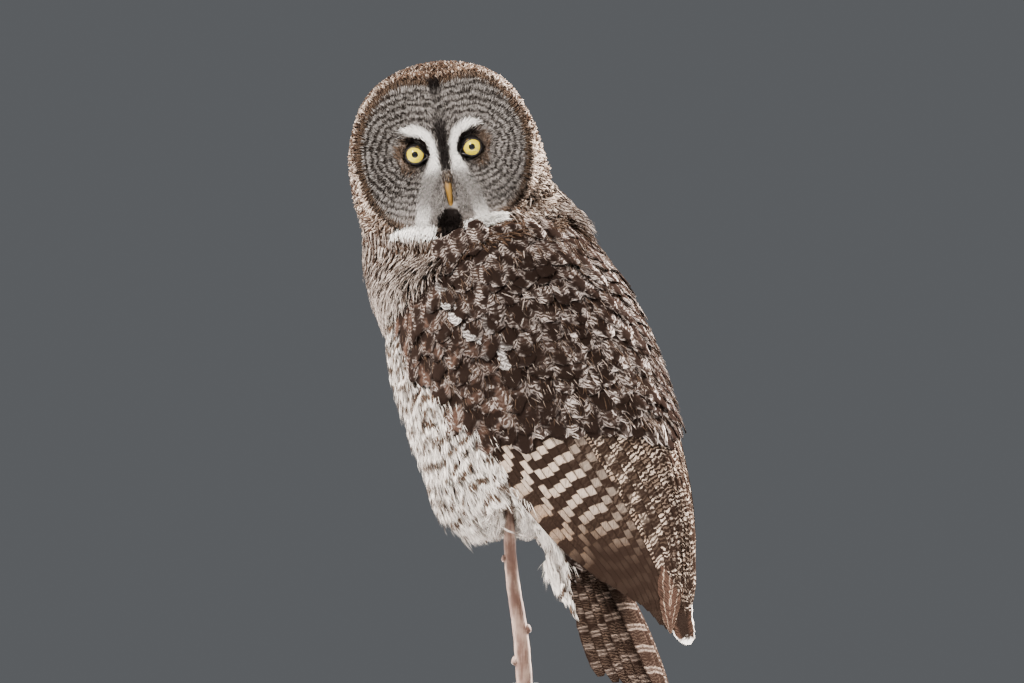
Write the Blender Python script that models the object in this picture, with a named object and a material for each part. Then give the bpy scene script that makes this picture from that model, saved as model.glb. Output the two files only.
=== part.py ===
"""Great grey owl, life size, perched on the cut tip of a thin stem on a plain display stand.

The body leans forward and faces left and away from the front of the frame. The head is turned
right round over the left shoulder, so that the face looks along -Y. Metres, +Z up. The origin is
the centre of the stand's underside.
"""

import math
import random

import bmesh
import bpy
from mathutils import Matrix, Vector

# Driving sizes
MM = 0.001
GAP = 0.3 * MM  # between neighbouring solids

# Stand and stem
BASE_SIDE = 0.300
BASE_THICK = 0.018
BASE_CORNER = 0.030
BASE_EDGE = 0.003
COLLAR_RADIUS = 0.014
COLLAR_FOOT, COLLAR_TOP = 0.036, 0.055
ROD_RADIUS = 0.006
STEM_FOOT_RADIUS, STEM_TIP_RADIUS = 0.0082, 0.0056
# The stem's middle line as (height, x), in the plane y = STEM_Y
STEM_Y = 0.030
STEM_LINE = ((0.043, -0.0205), (0.100, -0.0248), (0.160, -0.0334), (0.228, -0.0370), (0.262, -0.0375))
STEM_KNOTS = ((0.1745, 180, 0.0040), (0.1075, 0, 0.0050), (0.0770, 170, 0.0050))  # height, side, size

# Attitude: the way the breast faces, seen from above, and the lean of the back from upright
FACING = math.radians(40)  # from -X towards +Y
LEAN = math.radians(30.2)
BODY_CENTRE = Vector((-0.0076, 0.004, 0.3259))

HEAD_CENTRE = Vector((-0.0985, 0.060, 0.5620))
HEAD_ROLL = math.radians(8)

# Body sections along its own axis z, from the wing tips (-) to the neck (+): half width across the
# folded wings, depth of the back, depth of the belly, and the angle of the wing's lower edge, which
# is 0 at the breastbone and 180 at the spine.
HALF_WIDTH = (
    (-0.272, 0.022), (-0.240, 0.036), (-0.200, 0.053), (-0.160, 0.070), (-0.125, 0.086),
    (-0.090, 0.103), (-0.050, 0.115), (0.0, 0.120), (0.050, 0.119), (0.100, 0.112), (0.165, 0.096),
)
BACK_DEPTH = (
    (-0.272, 0.053), (-0.230, 0.079), (-0.190, 0.099), (-0.150, 0.111), (-0.100, 0.117),
    (-0.050, 0.119), (0.0, 0.124), (0.050, 0.124), (0.100, 0.118), (0.165, 0.105),
)
BELLY_DEPTH = (
    (-0.128, 0.040), (-0.110, 0.084), (-0.090, 0.116), (-0.068, 0.136), (-0.038, 0.141),
    (0.003, 0.132), (0.036, 0.130), (0.086, 0.123), (0.125, 0.113), (0.165, 0.098),
)
WING_EDGE = (
    (-0.272, 122), (-0.240, 117), (-0.200, 109), (-0.150, 103), (-0.074, 100), (-0.030, 97), (0.0, 94),
    (0.034, 89), (0.058, 80), (0.097, 75), (0.165, 77),
)
# The angle of the wing's upper edge. The mantle lies between the two wings above it.
WING_TOP = ((-0.272, 178.0), (-0.020, 179.0), (0.030, 174), (0.075, 163), (0.125, 150))
WING_THICK = 0.011
WING_CORE_DEEP = 0.0060  # how deep the wing's own flesh lies under the outline of its feathers
TORSO_TOP, TORSO_END = 0.125, -0.128
RUMP_DEPTH = 0.048  # the torso's back at its end, under the folded wings
WING_ROWS = (0.118, 0.092, 0.062, 0.030, -0.005, -0.040, -0.072, -0.100)

# Where head and neck part: a point of the plane and its upward direction
NECK_CUT = Vector((-0.0888, 0.000, 0.4845))
NECK_CUT_UP = Vector((-0.22, -0.40, 1.0)).normalized()

# Head, in its own frame: x to the bird's right, y out of the face, z up
DISC_RADIUS = 0.081
DISC_TOP, DISC_CHIN = 0.064, 0.070
DISC_LOW = 0.084
HEAD_HALF_WIDTH, CROWN, CHEEK_LOW, HEAD_BACK = 0.0965, 0.0885, 0.128, 0.092
EYE_X, EYE_Z = 0.0274, 0.0005
EYE_RADIUS = 0.0112
EYE_Y = 0.0335  # centre of the eyeball
LID_RADIUS, LID_THICK, LID_OUT = 0.0098, 0.0016, 0.0066
LID_FACING = Vector((0.16, 1, -0.04))
FACE_DEPTH, SAUCER_DEPTH, SAUCER_REACH, FACE_FALL = 0.0395, 0.0035, 0.060, 0.010
RIDGE_HEIGHT, RIDGE_WIDTH = 0.0125, 0.0125
NAPE_OUT, NAPE_TURN, NAPE_SPREAD = 0.0135, 201, 13  # the turned head's nape, in degrees round the face
CHEEK_OUT, CHEEK_TURN, CHEEK_SPREAD = 0.0065, 334, 14

MERGE = 0.02 * MM  # edges shorter than this are closed up after a union
FLAT_ANGLE = math.radians(0.4)  # facets nearer to one plane than this are one facet
SEED = 7


def curve(stations, at):
    """A smooth value at one place, from a short list of (place, value) stations."""
    if at <= stations[0][0]:
        return stations[0][1]
    if at >= stations[-1][0]:
        return stations[-1][1]
    last = len(stations) - 1
    i = max(k for k in range(last) if stations[k][0] <= at)
    (x0, y0), (x1, y1) = stations[i], stations[i + 1]
    before, after = stations[max(i - 1, 0)], stations[min(i + 2, last)]
    slope0 = (y1 - before[1]) / (x1 - before[0])
    slope1 = (after[1] - y0) / (after[0] - x0)
    t, span = (at - x0) / (x1 - x0), x1 - x0
    return (
        (2 * t**3 - 3 * t**2 + 1) * y0
        + (t**3 - 2 * t**2 + t) * span * slope0
        + (3 * t**2 - 2 * t**3) * y1
        + (t**3 - t**2) * span * slope1
    )


def ease(low, high, at):
    """0 below low, 1 above high, and smooth between."""
    t = min(max((at - low) / (high - low), 0.0), 1.0)
    return t * t * (3 - 2 * t)


# Frames
def body_matrix():
    """The body's frame: x to the bird's right, y to its breast, z along its back to the neck."""
    ahead = Vector((-math.cos(FACING), math.sin(FACING), 0))
    right = Vector((math.sin(FACING), math.cos(FACING), 0))
    along = ahead * math.sin(LEAN) + Vector((0, 0, 1)) * math.cos(LEAN)
    breast = along.cross(right)
    turn = Matrix((right, breast, along)).transposed().to_4x4()
    return Matrix.Translation(BODY_CENTRE) @ turn


def head_matrix():
    """The head's frame: x to the bird's right, y out of the face, z up, rolled a little."""
    up = Vector((-math.sin(HEAD_ROLL), 0, math.cos(HEAD_ROLL)))
    out = Vector((0, -1, 0))
    right = out.cross(up)
    turn = Matrix((right, out, up)).transposed().to_4x4()
    return Matrix.Translation(HEAD_CENTRE) @ turn


def frame_empty(name, matrix):
    empty = bpy.data.objects.new(name, None)
    bpy.context.scene.collection.objects.link(empty)
    empty.matrix_world = matrix
    return empty


# Mesh building
def finish_mesh(name, points, faces):
    """A closed mesh from points and faces, with its faces turned outwards."""
    mesh = bpy.data.meshes.new(name)
    mesh.from_pydata([tuple(p) for p in points], [], faces)
    work = bmesh.new()
    work.from_mesh(mesh)
    bmesh.ops.recalc_face_normals(work, faces=work.faces)
    if work.calc_volume(signed=True) < 0:
        bmesh.ops.reverse_faces(work, faces=work.faces)
    work.to_mesh(mesh)
    work.free()
    return mesh


def loft(name, rings):
    """A closed tube through rings of points, with a flat cap at each end."""
    count = len(rings[0])
    points = [p for ring in rings for p in ring]
    faces = []
    for i in range(len(rings) - 1):
        for j in range(count):
            a, b = i * count + j, i * count + (j + 1) % count
            faces += [(a, b, b + count), (a, b + count, a + count)]
    faces.append(tuple(range(count))[::-1])
    faces.append(tuple(range((len(rings) - 1) * count, len(rings) * count)))
    return finish_mesh(name, points, faces)


def ball_loft(name, rings, first, last):
    """As loft, but each end closes in a point."""
    count = len(rings[0])
    points = [p for ring in rings for p in ring] + [first, last]
    faces = []
    for i in range(len(rings) - 1):
        for j in range(count):
            a, b = i * count + j, i * count + (j + 1) % count
            faces += [(a, b, b + count), (a, b + count, a + count)]
    top, end = len(points) - 2, (len(rings) - 1) * count
    for j in range(count):
        faces.append((top, (j + 1) % count, j))
        faces.append((top + 1, end + j, end + (j + 1) % count))
    return finish_mesh(name, points, faces)


def slab(name, outer, inner):
    """A closed sheet between two grids of points, split into triangles alike on both faces."""
    rows, columns = len(outer), len(outer[0])
    points = [p for row in outer for p in row] + [p for row in inner for p in row]
    under = rows * columns
    faces = []

    def band(a, b):
        faces.append((a, b, b + under))
        faces.append((a, b + under, a + under))

    for i in range(rows - 1):
        for j in range(columns - 1):
            a, b = i * columns + j, i * columns + j + 1
            c, d = b + columns, a + columns
            faces += [(a, b, c), (a, c, d)]
            faces += [(a + under, c + under, b + under), (a + under, d + under, c + under)]
    for i in range(rows - 1):
        band((i + 1) * columns, i * columns)
        band(i * columns + columns - 1, (i + 1) * columns + columns - 1)
    for j in range(columns - 1):
        band(j, j + 1)
        band((rows - 1) * columns + j + 1, (rows - 1) * columns + j)
    return finish_mesh(name, points, faces)


def tube(name, line, radii, sides=10):
    """A tube of changing radius along a line of points, closed by points at both ends."""
    rings = []
    across = None
    for i, point in enumerate(line):
        along = (line[min(i + 1, len(line) - 1)] - line[max(i - 1, 0)]).normalized()
        if across is None:
            across = along.orthogonal().normalized()
        across = (across - along * across.dot(along)).normalized()
        other = along.cross(across)
        rings.append([
            point + (across * math.cos(t) + other * math.sin(t)) * radii[i]
            for t in (2 * math.pi * j / sides for j in range(sides))
        ])
    first = line[0] - (line[1] - line[0]).normalized() * radii[0] * 0.6
    last = line[-1] + (line[-1] - line[-2]).normalized() * radii[-1] * 0.6
    return ball_loft(name, rings, first, last)


def sphere(name, centre, radius, rings=10, sides=16, stretch=(1, 1, 1)):
    """A ball of latitude rings whose poles lie on the y axis."""
    loops = []
    for i in range(1, rings):
        t = math.pi * i / rings
        loops.append([
            centre + Vector((
                radius * math.sin(t) * math.cos(2 * math.pi * j / sides) * stretch[0],
                radius * math.cos(t) * stretch[1],
                radius * math.sin(t) * math.sin(2 * math.pi * j / sides) * stretch[2],
            ))
            for j in range(sides)
        ])
    pole = Vector((0, radius * stretch[1], 0))
    return ball_loft(name, loops, centre + pole, centre - pole)


def box(name, low, high):
    """A closed box between two corners."""
    (x0, y0, z0), (x1, y1, z1) = low, high
    points = [Vector((x, y, z)) for z in (z0, z1) for y in (y0, y1) for x in (x0, x1)]
    faces = [(0, 2, 3, 1), (4, 5, 7, 6), (0, 1, 5, 4), (2, 6, 7, 3), (0, 4, 6, 2), (1, 3, 7, 5)]
    return finish_mesh(name, points, faces)


VANE_THICK = 1.0 * MM
BLADE = ((0.0, 0.55), (0.25, 0.85), (0.6, 1.0), (0.85, 0.82), (1.0, 0.25))  # half width by length


def blade(name, line, normals, half_width, thick, tilt=0.0, bend_radius=0.11, shape=BLADE, ridge=True):
    """One feather or lock as a thin closed vane along a line, cambered over the form below it."""
    last = len(line) - 1
    outer, inner = [], []
    for i, point in enumerate(line):
        along = (line[min(i + 1, last)] - line[max(i - 1, 0)]).normalized()
        normal = (normals[i] - along * normals[i].dot(along)).normalized()
        across = along.cross(normal)
        u = i / last
        half = half_width * curve(shape, u)
        deep = thick * (1 - 0.45 * u)
        columns = (-1, 0, 1) if ridge else (-1, 1)
        top_row, low_row = [], []
        for c in columns:
            x = c * half
            lift = tilt * x - (x * x / (2 * bend_radius) if ridge else 0.0)
            crest = 0.35 * deep if (ridge and c == 0) else 0.0
            place = point + across * x + normal * lift
            top_row.append(place + normal * (deep / 2 + crest))
            low_row.append(place - normal * (deep / 2))
        outer.append(top_row)
        inner.append(low_row)
    return slab(name, outer, inner)


# Objects, unions and cuts
def material(name, colour, roughness, metallic=0.0):
    made = bpy.data.materials.get(name) or bpy.data.materials.new(name)
    made.use_nodes = True
    shader = made.node_tree.nodes["Principled BSDF"]
    shader.inputs["Base Color"].default_value = (*colour, 1)
    shader.inputs["Roughness"].default_value = roughness
    shader.inputs["Metallic"].default_value = metallic
    return made


def place(name, mesh, finish, parent=None):
    """Puts a mesh in the scene as a named object with its finish, in its parent's frame."""
    mesh.name = name
    obj = bpy.data.objects.new(name, mesh)
    bpy.context.scene.collection.objects.link(obj)
    obj.parent = parent
    obj.data.materials.clear()
    obj.data.materials.append(finish)
    bpy.context.view_layer.update()
    return obj


def bake_modifiers(obj):
    graph = bpy.context.evaluated_depsgraph_get()
    made = bpy.data.meshes.new_from_object(obj.evaluated_get(graph))
    obj.modifiers.clear()
    old, finish = obj.data, obj.data.materials[0]
    obj.data = made
    made.materials.clear()
    made.materials.append(finish)
    bpy.data.meshes.remove(old)


def fuse(obj, meshes):
    """Joins closed meshes of the same frame to an object by one Boolean union."""
    pieces = bpy.data.collections.new(obj.name + "_pieces")
    bpy.context.scene.collection.children.link(pieces)
    for mesh in meshes:
        piece = bpy.data.objects.new(mesh.name, mesh)
        pieces.objects.link(piece)
        piece.parent = obj.parent
    bpy.context.view_layer.update()
    union = obj.modifiers.new("union", "BOOLEAN")
    union.operation, union.operand_type = "UNION", "COLLECTION"
    union.collection, union.solver = pieces, "MANIFOLD"
    bake_modifiers(obj)
    for piece in list(pieces.objects):
        bpy.data.objects.remove(piece)
    bpy.data.collections.remove(pieces)


def cut(obj, mesh, parent=None):
    """Takes a closed mesh out of an object."""
    cutter = bpy.data.objects.new("cutter", mesh)
    bpy.context.scene.collection.objects.link(cutter)
    cutter.parent = parent if parent is not None else obj.parent
    bpy.context.view_layer.update()
    difference = obj.modifiers.new("difference", "BOOLEAN")
    difference.operation, difference.object, difference.solver = "DIFFERENCE", cutter, "MANIFOLD"
    bake_modifiers(obj)
    bpy.data.objects.remove(cutter)


def grown(mesh, by=GAP):
    """A copy of a closed mesh whose points are moved out along their normals."""
    copy = mesh.copy()
    work = bmesh.new()
    work.from_mesh(copy)
    work.normal_update()
    for point in work.verts:
        point.co += point.normal * by * 1.15
    work.to_mesh(copy)
    work.free()
    return copy


def closed(work):
    return all(len(edge.link_faces) == 2 for edge in work.edges)


def simplify(obj):
    """Merges what lies in one plane and what is shorter than a hair, if the mesh stays closed."""
    for merge, flat in ((MERGE, FLAT_ANGLE), (MERGE / 4, FLAT_ANGLE / 4), (MERGE / 20, 0.0)):
        work = bmesh.new()
        work.from_mesh(obj.data)
        bmesh.ops.remove_doubles(work, verts=work.verts, dist=merge)
        bmesh.ops.dissolve_degenerate(work, dist=merge, edges=work.edges)
        if flat:
            bmesh.ops.dissolve_limit(
                work, angle_limit=flat, verts=work.verts, edges=work.edges, use_dissolve_boundaries=False,
            )
        bmesh.ops.triangulate(work, faces=work.faces, ngon_method="EAR_CLIP")
        good = closed(work)
        if good:
            work.to_mesh(obj.data)
        work.free()
        if good:
            return


def keep_largest(obj):
    """Keeps only the largest closed surface of an object."""
    work = bmesh.new()
    work.from_mesh(obj.data)
    left, shells = set(work.verts), []
    while left:
        queue, shell = [left.pop()], set()
        while queue:
            vert = queue.pop()
            shell.add(vert)
            for edge in vert.link_edges:
                other = edge.other_vert(vert)
                if other in left:
                    left.remove(other)
                    queue.append(other)
        shells.append(shell)

    def reach(shell):
        low = [min(v.co[k] for v in shell) for k in range(3)]
        high = [max(v.co[k] for v in shell) for k in range(3)]
        return math.dist(low, high)

    shells.sort(key=reach)
    for shell in shells[:-1]:
        bmesh.ops.delete(work, geom=list(shell), context="VERTS")
    work.to_mesh(obj.data)
    work.free()
    simplify(obj)


def smooth_shaded(obj, angle=40):
    obj.data.shade_smooth()
    obj.data.set_sharp_from_angle(angle=math.radians(angle))


# Torso
def outline_point(z, angle, out=0.0):
    """A point of the body's outline, to the tips of its feathers, or out from it."""
    turn = math.radians(angle)
    half = curve(HALF_WIDTH, z)
    deep = curve(BELLY_DEPTH if math.cos(turn) > 0 else BACK_DEPTH, z)
    normal = Vector((math.sin(turn) / half, math.cos(turn) / deep, 0)).normalized()
    return Vector((half * math.sin(turn), deep * math.cos(turn), z)) + normal * out


def torso_point(z, angle, out=0.0):
    """A point of the torso's surface. Under the folded wings it is set in by their thickness."""
    off = abs(angle)
    edge, top = curve(WING_EDGE, z), curve(WING_TOP, z)
    low, high = edge - WING_OVERHANG, edge - WING_OVERHANG + 4
    under = ease(low, high, off) * (1 - ease(top - 2.5, top + 2.5, off)) * ease(0.125, 0.118, z)
    under = max(under, ease(-0.100, -0.118, z) * ease(low, high, off))
    point = outline_point(z, angle, out - WING_THICK * under)
    end = ease(-0.085, TORSO_END, z)
    point.x *= 1 - 0.42 * end
    if point.y < 0:
        point.y *= 1 - end * (1 - RUMP_DEPTH / curve(BACK_DEPTH, TORSO_END))
    return point


WING_OVERHANG = 9  # degrees that the wing's lowest feathers reach past its flesh
FRONT_STEPS, WING_STEPS, MANTLE_STEPS = 5, 6, 1


def torso_angles(z):
    """Half a ring of angles, from breastbone to spine, with its steps on the wing's two edges."""
    edge, top = curve(WING_EDGE, z), min(curve(WING_TOP, z), 176.5)
    low = edge - WING_OVERHANG
    front = [low * k / FRONT_STEPS for k in range(FRONT_STEPS + 1)]
    wing = [low + 4 + (top - low - 6.5) * k / WING_STEPS for k in range(WING_STEPS + 1)]
    mantle = [top + 2.5 + (180 - top - 2.5) * k / MANTLE_STEPS for k in range(MANTLE_STEPS + 1)]
    return front + wing + mantle


def torso_ring(z, out=0.0):
    half = torso_angles(z)
    angles = half + [-a for a in half[-2:0:-1]]
    return [torso_point(z, a, out) for a in angles]


def make_torso(body, finish):
    lower = (-0.128, -0.122, -0.112)
    heights = lower + tuple(reversed(WING_ROWS)) + (TORSO_TOP,)
    mesh = loft("torso", [torso_ring(z) for z in heights])
    return place("torso", mesh, finish, body)


# Wings
def wing_point(side, z, across, out=0.0):
    """A point over the folded wing: across is 0 on its lower edge and 1 on its upper edge."""
    edge, top = curve(WING_EDGE, z), curve(WING_TOP, z)
    return outline_point(z, side * (edge + (top - edge) * across), out)


def make_wing_core(side):
    """The flesh of the folded wing, face to face with the torso under it."""
    inner, outer = [], []
    for z in WING_ROWS:
        half = torso_angles(z)
        angles = half[FRONT_STEPS + 2:FRONT_STEPS + WING_STEPS + 2]
        inner.append([torso_point(z, side * a, 0.45 * MM) for a in angles])
        outer.append([outline_point(z, side * a, -WING_CORE_DEEP) for a in angles])
    return slab("wing_core", outer, inner)


def vane_on_wing(side, start, end, half_width, thick, low, high, tilt, stations, shape=BLADE, ridge=True):
    """One feather over the wing from (z, across) to (z, across), rising from low to high."""
    line, normals = [], []
    for k in range(stations):
        u = k / (stations - 1)
        z, w = (start[n] + (end[n] - start[n]) * u for n in (0, 1))
        rise = low + (high - low) * u
        here = wing_point(side, z, w, rise)
        along = wing_point(side, z - 0.002, w, rise) - here
        over = wing_point(side, z, w + 0.02, rise) - here
        normal = along.cross(over).normalized()
        if normal.dot(wing_point(side, z, w, rise + 0.001) - here) < 0:
            normal = -normal
        line.append(here)
        normals.append(normal)
    return blade("vane", line, normals, half_width, thick, tilt * side, 0.14, shape, ridge)


LONG = ((0.0, 0.45), (0.15, 0.85), (0.5, 1.0), (0.82, 0.92), (1.0, 0.30))
ROUND = ((0.0, 0.55), (0.3, 0.9), (0.65, 1.0), (0.88, 0.78), (1.0, 0.34))

ROOT_DEEP = 7.6  # mm that a feather's root lies under the wing's outline
TIP_SPREAD = 0.003
PRIMARY_TILT, COVERT_TILT = 0.16, 0.075  # how far a feather's lower edge is turned in
REACH = 0.4  # more than the bird's size: blocks that cut off one side reach this far

# Tiers of the folded wing, lowest layer first: name, number of feathers, first and last root, first and
# last tip, each as (z, across), the half width, the height of the tips and the stations
WING_TIERS = (
    ("primaries", 6, (0.000, 0.04), (-0.045, 0.42), (-0.185, 0.02), (-0.272, 0.40), 10.0, -3.4, 5, LONG),
    ("secondaries", 6, (-0.04, 0.34), (-0.05, 0.92), (-0.178, 0.30), (-0.258, 0.92), 12.5, -2.2, 4, LONG),
    ("greater coverts", 5, (0.030, 0.06), (0.0, 0.92), (-0.050, 0.03), (-0.115, 0.92), 18.0, -0.8, 4, ROUND),
    ("median coverts", 4, (0.068, 0.06), (0.045, 0.90), (0.005, 0.03), (-0.045, 0.92), 22.0, -0.4, 4, ROUND),
    ("lesser coverts", 4, (0.095, 0.08), (0.082, 0.90), (0.040, 0.05), (0.012, 0.90), 21.0, 0.0, 4, ROUND),
    ("scapulars", 4, (0.113, 0.10), (0.112, 0.88), (0.072, 0.08), (0.055, 0.88), 20.0, 0.4, 4, ROUND),
)


def make_wing(name, side, body, finish, draw, torso):
    wing = place(name, make_wing_core(side), finish, body)
    vanes = []
    for tier, count, root_a, root_b, tip_a, tip_b, half, top, stations, shape in WING_TIERS:
        for k in range(count):
            t = k / (count - 1)
            root = [root_a[n] + (root_b[n] - root_a[n]) * t for n in (0, 1)]
            tip = [tip_a[n] + (tip_b[n] - tip_a[n]) * t for n in (0, 1)]
            if tier == "primaries":
                tip[0] = tip_a[0] + (tip_b[0] - tip_a[0]) * t ** 0.75
            tip[0] += draw.uniform(-TIP_SPREAD, TIP_SPREAD)
            tilt = PRIMARY_TILT if tier == "primaries" else COVERT_TILT
            vanes.append(vane_on_wing(
                side, root, tip, half * MM, VANE_THICK, -ROOT_DEEP * MM, top * MM, tilt, stations, shape,
                ridge=tier in ("primaries", "secondaries"),
            ))
    fuse(wing, vanes)
    cut(wing, grown(torso.data))
    low, high = (-REACH, GAP) if side > 0 else (-GAP, REACH)
    cut(wing, box("other_side", (low, -REACH, -REACH), (high, REACH, REACH)))
    keep_largest(wing)
    return wing


# Mantle
MANTLE_ROWS = ((0.122, 0.082, 3), (0.092, 0.050, 2), (0.062, 0.022, 2))  # root z, tip z, how many
MANTLE_HALF = 0.006  # least half width
MANTLE_SUNK, MANTLE_LIFT = 1.2, 2.6


def mantle_meshes():
    """The feathers of the upper back, between the two wings."""
    vanes = []
    for root_z, tip_z, count in MANTLE_ROWS:
        spread = 180 - curve(WING_TOP, tip_z)
        for k in range(count):
            angle = 180 + spread * 0.9 * ((k + 0.5) / count * 2 - 1)
            line, normals = [], []
            for u in (0, 0.4, 0.75, 1):
                z = root_z + (tip_z - root_z) * u
                line.append(outline_point(z, angle, (MANTLE_LIFT * u ** 0.6 - MANTLE_SUNK) * MM))
                normals.append((outline_point(z, angle, 0.01) - outline_point(z, angle)).normalized())
            half = max(0.6 * math.radians(2 * spread / count) * curve(HALF_WIDTH, tip_z), MANTLE_HALF)
            vanes.append(blade("mantle", line, normals, half, VANE_THICK, shape=ROUND, ridge=False))
    return vanes


# Tail
TAIL_LINE = ((-0.128, 0.002), (-0.232, 0.0045), (-0.311, 0.0170))  # (z, y) of its upper midline
TAIL_HALF, TAIL_DROOP = 0.056, 0.022
TAIL_SHORTER = 0.030  # the outermost feather, against the middle pair
TAIL_ROOT, TAIL_TIP, TAIL_PAIRS = -0.155, -0.311, 6
FEATHER_HALF = 0.0125
# The tail's flesh and down as (z, half width, y of its upper side, y of its lower side)
TAIL_CORE = (
    (-0.1284, 0.034, -0.020, 0.044), (-0.142, 0.036, -0.018, 0.063), (-0.160, 0.036, -0.009, 0.063),
    (-0.178, 0.034, 0.001, 0.054), (-0.198, 0.031, 0.006, 0.035),
)
# Feathers under the tail as (root z, tip z, how many, lift at the tip), the lower layer first
UNDERTAIL_ROWS = ((-0.146, -0.224, 4, 10.0), (-0.138, -0.204, 4, 15.0))
UNDERTAIL_DEPTH = ((-0.224, 0.036), (-0.198, 0.044), (-0.160, 0.063), (-0.142, 0.063), (-0.1284, 0.044))
UNDERTAIL_HALF, UNDERTAIL_SPREAD, UNDERTAIL_ROUND = 0.0095, 0.060, 20.0


def tail_point(z, x, down=0.0):
    """A point of the tail's upper face: it arches, with its sides lower towards the breast side."""
    side = x / TAIL_HALF
    return Vector((x, curve(TAIL_LINE, z) + TAIL_DROOP * side * side * ease(-0.12, -0.2, z) + down, z))


def make_tail(body, finish):
    rings = []
    for z, half, upper, lower in TAIL_CORE:
        ring = []
        for j in range(16):
            t = 2 * math.pi * j / 16
            middle, deep = (upper + lower) / 2, (lower - upper) / 2
            point = Vector((half * math.sin(t), middle + deep * math.cos(t), z))
            point.y += TAIL_DROOP * (point.x / TAIL_HALF) ** 2 * ease(-0.12, -0.2, z)
            ring.append(point)
        rings.append(ring)
    tail = place("tail", loft("tail", rings), finish, body)
    vanes = []
    for side in (-1, 1):
        for k in range(TAIL_PAIRS):
            layer = (1.5 * (k + 1) if k else (0.0 if side < 0 else 1.5)) * MM
            x0, x1 = side * 0.0042 * (k + 0.6), side * (0.005 + 0.0098 * k)
            tip = TAIL_TIP + TAIL_SHORTER * (k / (TAIL_PAIRS - 1)) ** 1.8
            line, normals = [], []
            for u in (0, 0.3, 0.62, 0.85, 1):
                z = TAIL_ROOT + (tip - TAIL_ROOT) * u
                x = x0 + (x1 - x0) * u ** 0.8
                sunk = (7.0 * (1 - u) ** 1.5 + 0.4) * MM
                line.append(tail_point(z, x, sunk + layer))
                slope = 2 * TAIL_DROOP * x / TAIL_HALF**2
                normals.append(Vector((slope, -1, 0)).normalized())
            vanes.append(blade("rectrix", line, normals, FEATHER_HALF, VANE_THICK, -0.06 * side, 0.3, LONG))
    for root, tip, count, lift in UNDERTAIL_ROWS:
        for k in range(count):
            x = UNDERTAIL_SPREAD * ((k + 0.5) / count - 0.5)
            line, normals = [], []
            for u in (0, 0.4, 0.75, 1):
                z = root + (tip - root) * u
                y = curve(UNDERTAIL_DEPTH, z) + (lift * u ** 0.7 - 6.0) * MM
                line.append(Vector((x * (1 + 0.3 * u), y - UNDERTAIL_ROUND * x * x, z)))
                normals.append(Vector((x / UNDERTAIL_SPREAD, 1, 0)).normalized())
            vanes.append(blade(
                "undertail", line, normals, UNDERTAIL_HALF, VANE_THICK, shape=ROUND, ridge=False,
            ))
    fuse(tail, vanes)
    keep_largest(tail)
    return tail


# Head
def disc_radius(turn):
    """The facial disc's rim, by the turn from the bird's right towards the crown."""
    top = math.exp(-((math.degrees(turn) - 90) / 22) ** 2)
    chin = math.exp(-((math.degrees(turn) - 270) / 24) ** 2)
    low = DISC_RADIUS + (DISC_LOW - DISC_RADIUS) * ease(0, 1, -math.sin(turn))
    return low - (DISC_RADIUS - DISC_TOP) * top - (DISC_LOW - DISC_CHIN) * chin


def face_depth(x, z):
    """How far the face stands out at x, z: a dish round each eye and a ridge between them."""
    reach = min(math.hypot(abs(x) - EYE_X, z - EYE_Z) / SAUCER_REACH, 1.0)
    dish = FACE_DEPTH + SAUCER_DEPTH * (reach - math.sin(math.pi * min(reach * 1.5, 1.0)))
    length = ease(-0.072, -0.030, z) * (1 - ease(0.025, 0.062, z))
    ridge = RIDGE_HEIGHT * math.exp(-((x / RIDGE_WIDTH) ** 2)) * length
    return dish + ridge - FACE_FALL * ease(0.055, 0.090, math.hypot(x, z))


def head_outline(turn):
    """The head's own outline seen from the front."""
    tall = CROWN if math.sin(turn) > 0 else CHEEK_LOW
    degrees = math.degrees(turn) % 360
    nape = NAPE_OUT * math.exp(-((degrees - NAPE_TURN) / NAPE_SPREAD) ** 2)
    cheek = CHEEK_OUT * math.exp(-((degrees - CHEEK_TURN) / CHEEK_SPREAD) ** 2)
    rim = Vector((HEAD_HALF_WIDTH * math.cos(turn), 0, tall * math.sin(turn)))
    return rim * (1 + (nape + cheek) / rim.length)


HEAD_SIDES = 32
FACE_RINGS = (0.13, 0.28, 0.42, 0.58, 0.78, 0.97)
SIDE_RINGS = ((0.18, 0.030), (0.60, 0.0195), (1.0, 0.0))  # from rim to widest, and how far out
BACK_TURNS = (22, 43, 62, 78)


def head_rings():
    rings = []
    turns = [2 * math.pi * (j + 0.5) / HEAD_SIDES for j in range(HEAD_SIDES)]
    for part in FACE_RINGS:
        ring = []
        for t in turns:
            x, z = (disc_radius(t) * part * f for f in (math.cos(t), math.sin(t)))
            ring.append(Vector((x, face_depth(x, z), z)))
        rings.append(ring)
    for part, out in SIDE_RINGS:
        ring = []
        for t in turns:
            rim = Vector((disc_radius(t) * math.cos(t), 0, disc_radius(t) * math.sin(t)))
            point = rim.lerp(head_outline(t), part)
            point.y = out
            ring.append(point)
        rings.append(ring)
    for degrees in BACK_TURNS:
        c, b = math.cos(math.radians(degrees)), math.sin(math.radians(degrees))
        rings.append([head_outline(t) * c - Vector((0, HEAD_BACK * b, 0)) for t in turns])
    return rings


def ring_mesh(name, centre, axis, radius, thick, sides=14, tube_sides=5):
    """A closed ring round an axis."""
    across = axis.orthogonal().normalized()
    other = axis.cross(across)
    points, faces = [], []
    for i in range(sides):
        t = 2 * math.pi * i / sides
        out = across * math.cos(t) + other * math.sin(t)
        for j in range(tube_sides):
            a = 2 * math.pi * j / tube_sides
            points.append(centre + out * (radius + thick * math.cos(a)) + axis * (thick * math.sin(a)))
    for i in range(sides):
        for j in range(tube_sides):
            a, b = i * tube_sides + j, i * tube_sides + (j + 1) % tube_sides
            c, d = ((i + 1) % sides) * tube_sides + (j + 1) % tube_sides, ((i + 1) % sides) * tube_sides + j
            faces += [(a, b, c), (a, c, d)]
    return finish_mesh(name, points, faces)


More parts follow.
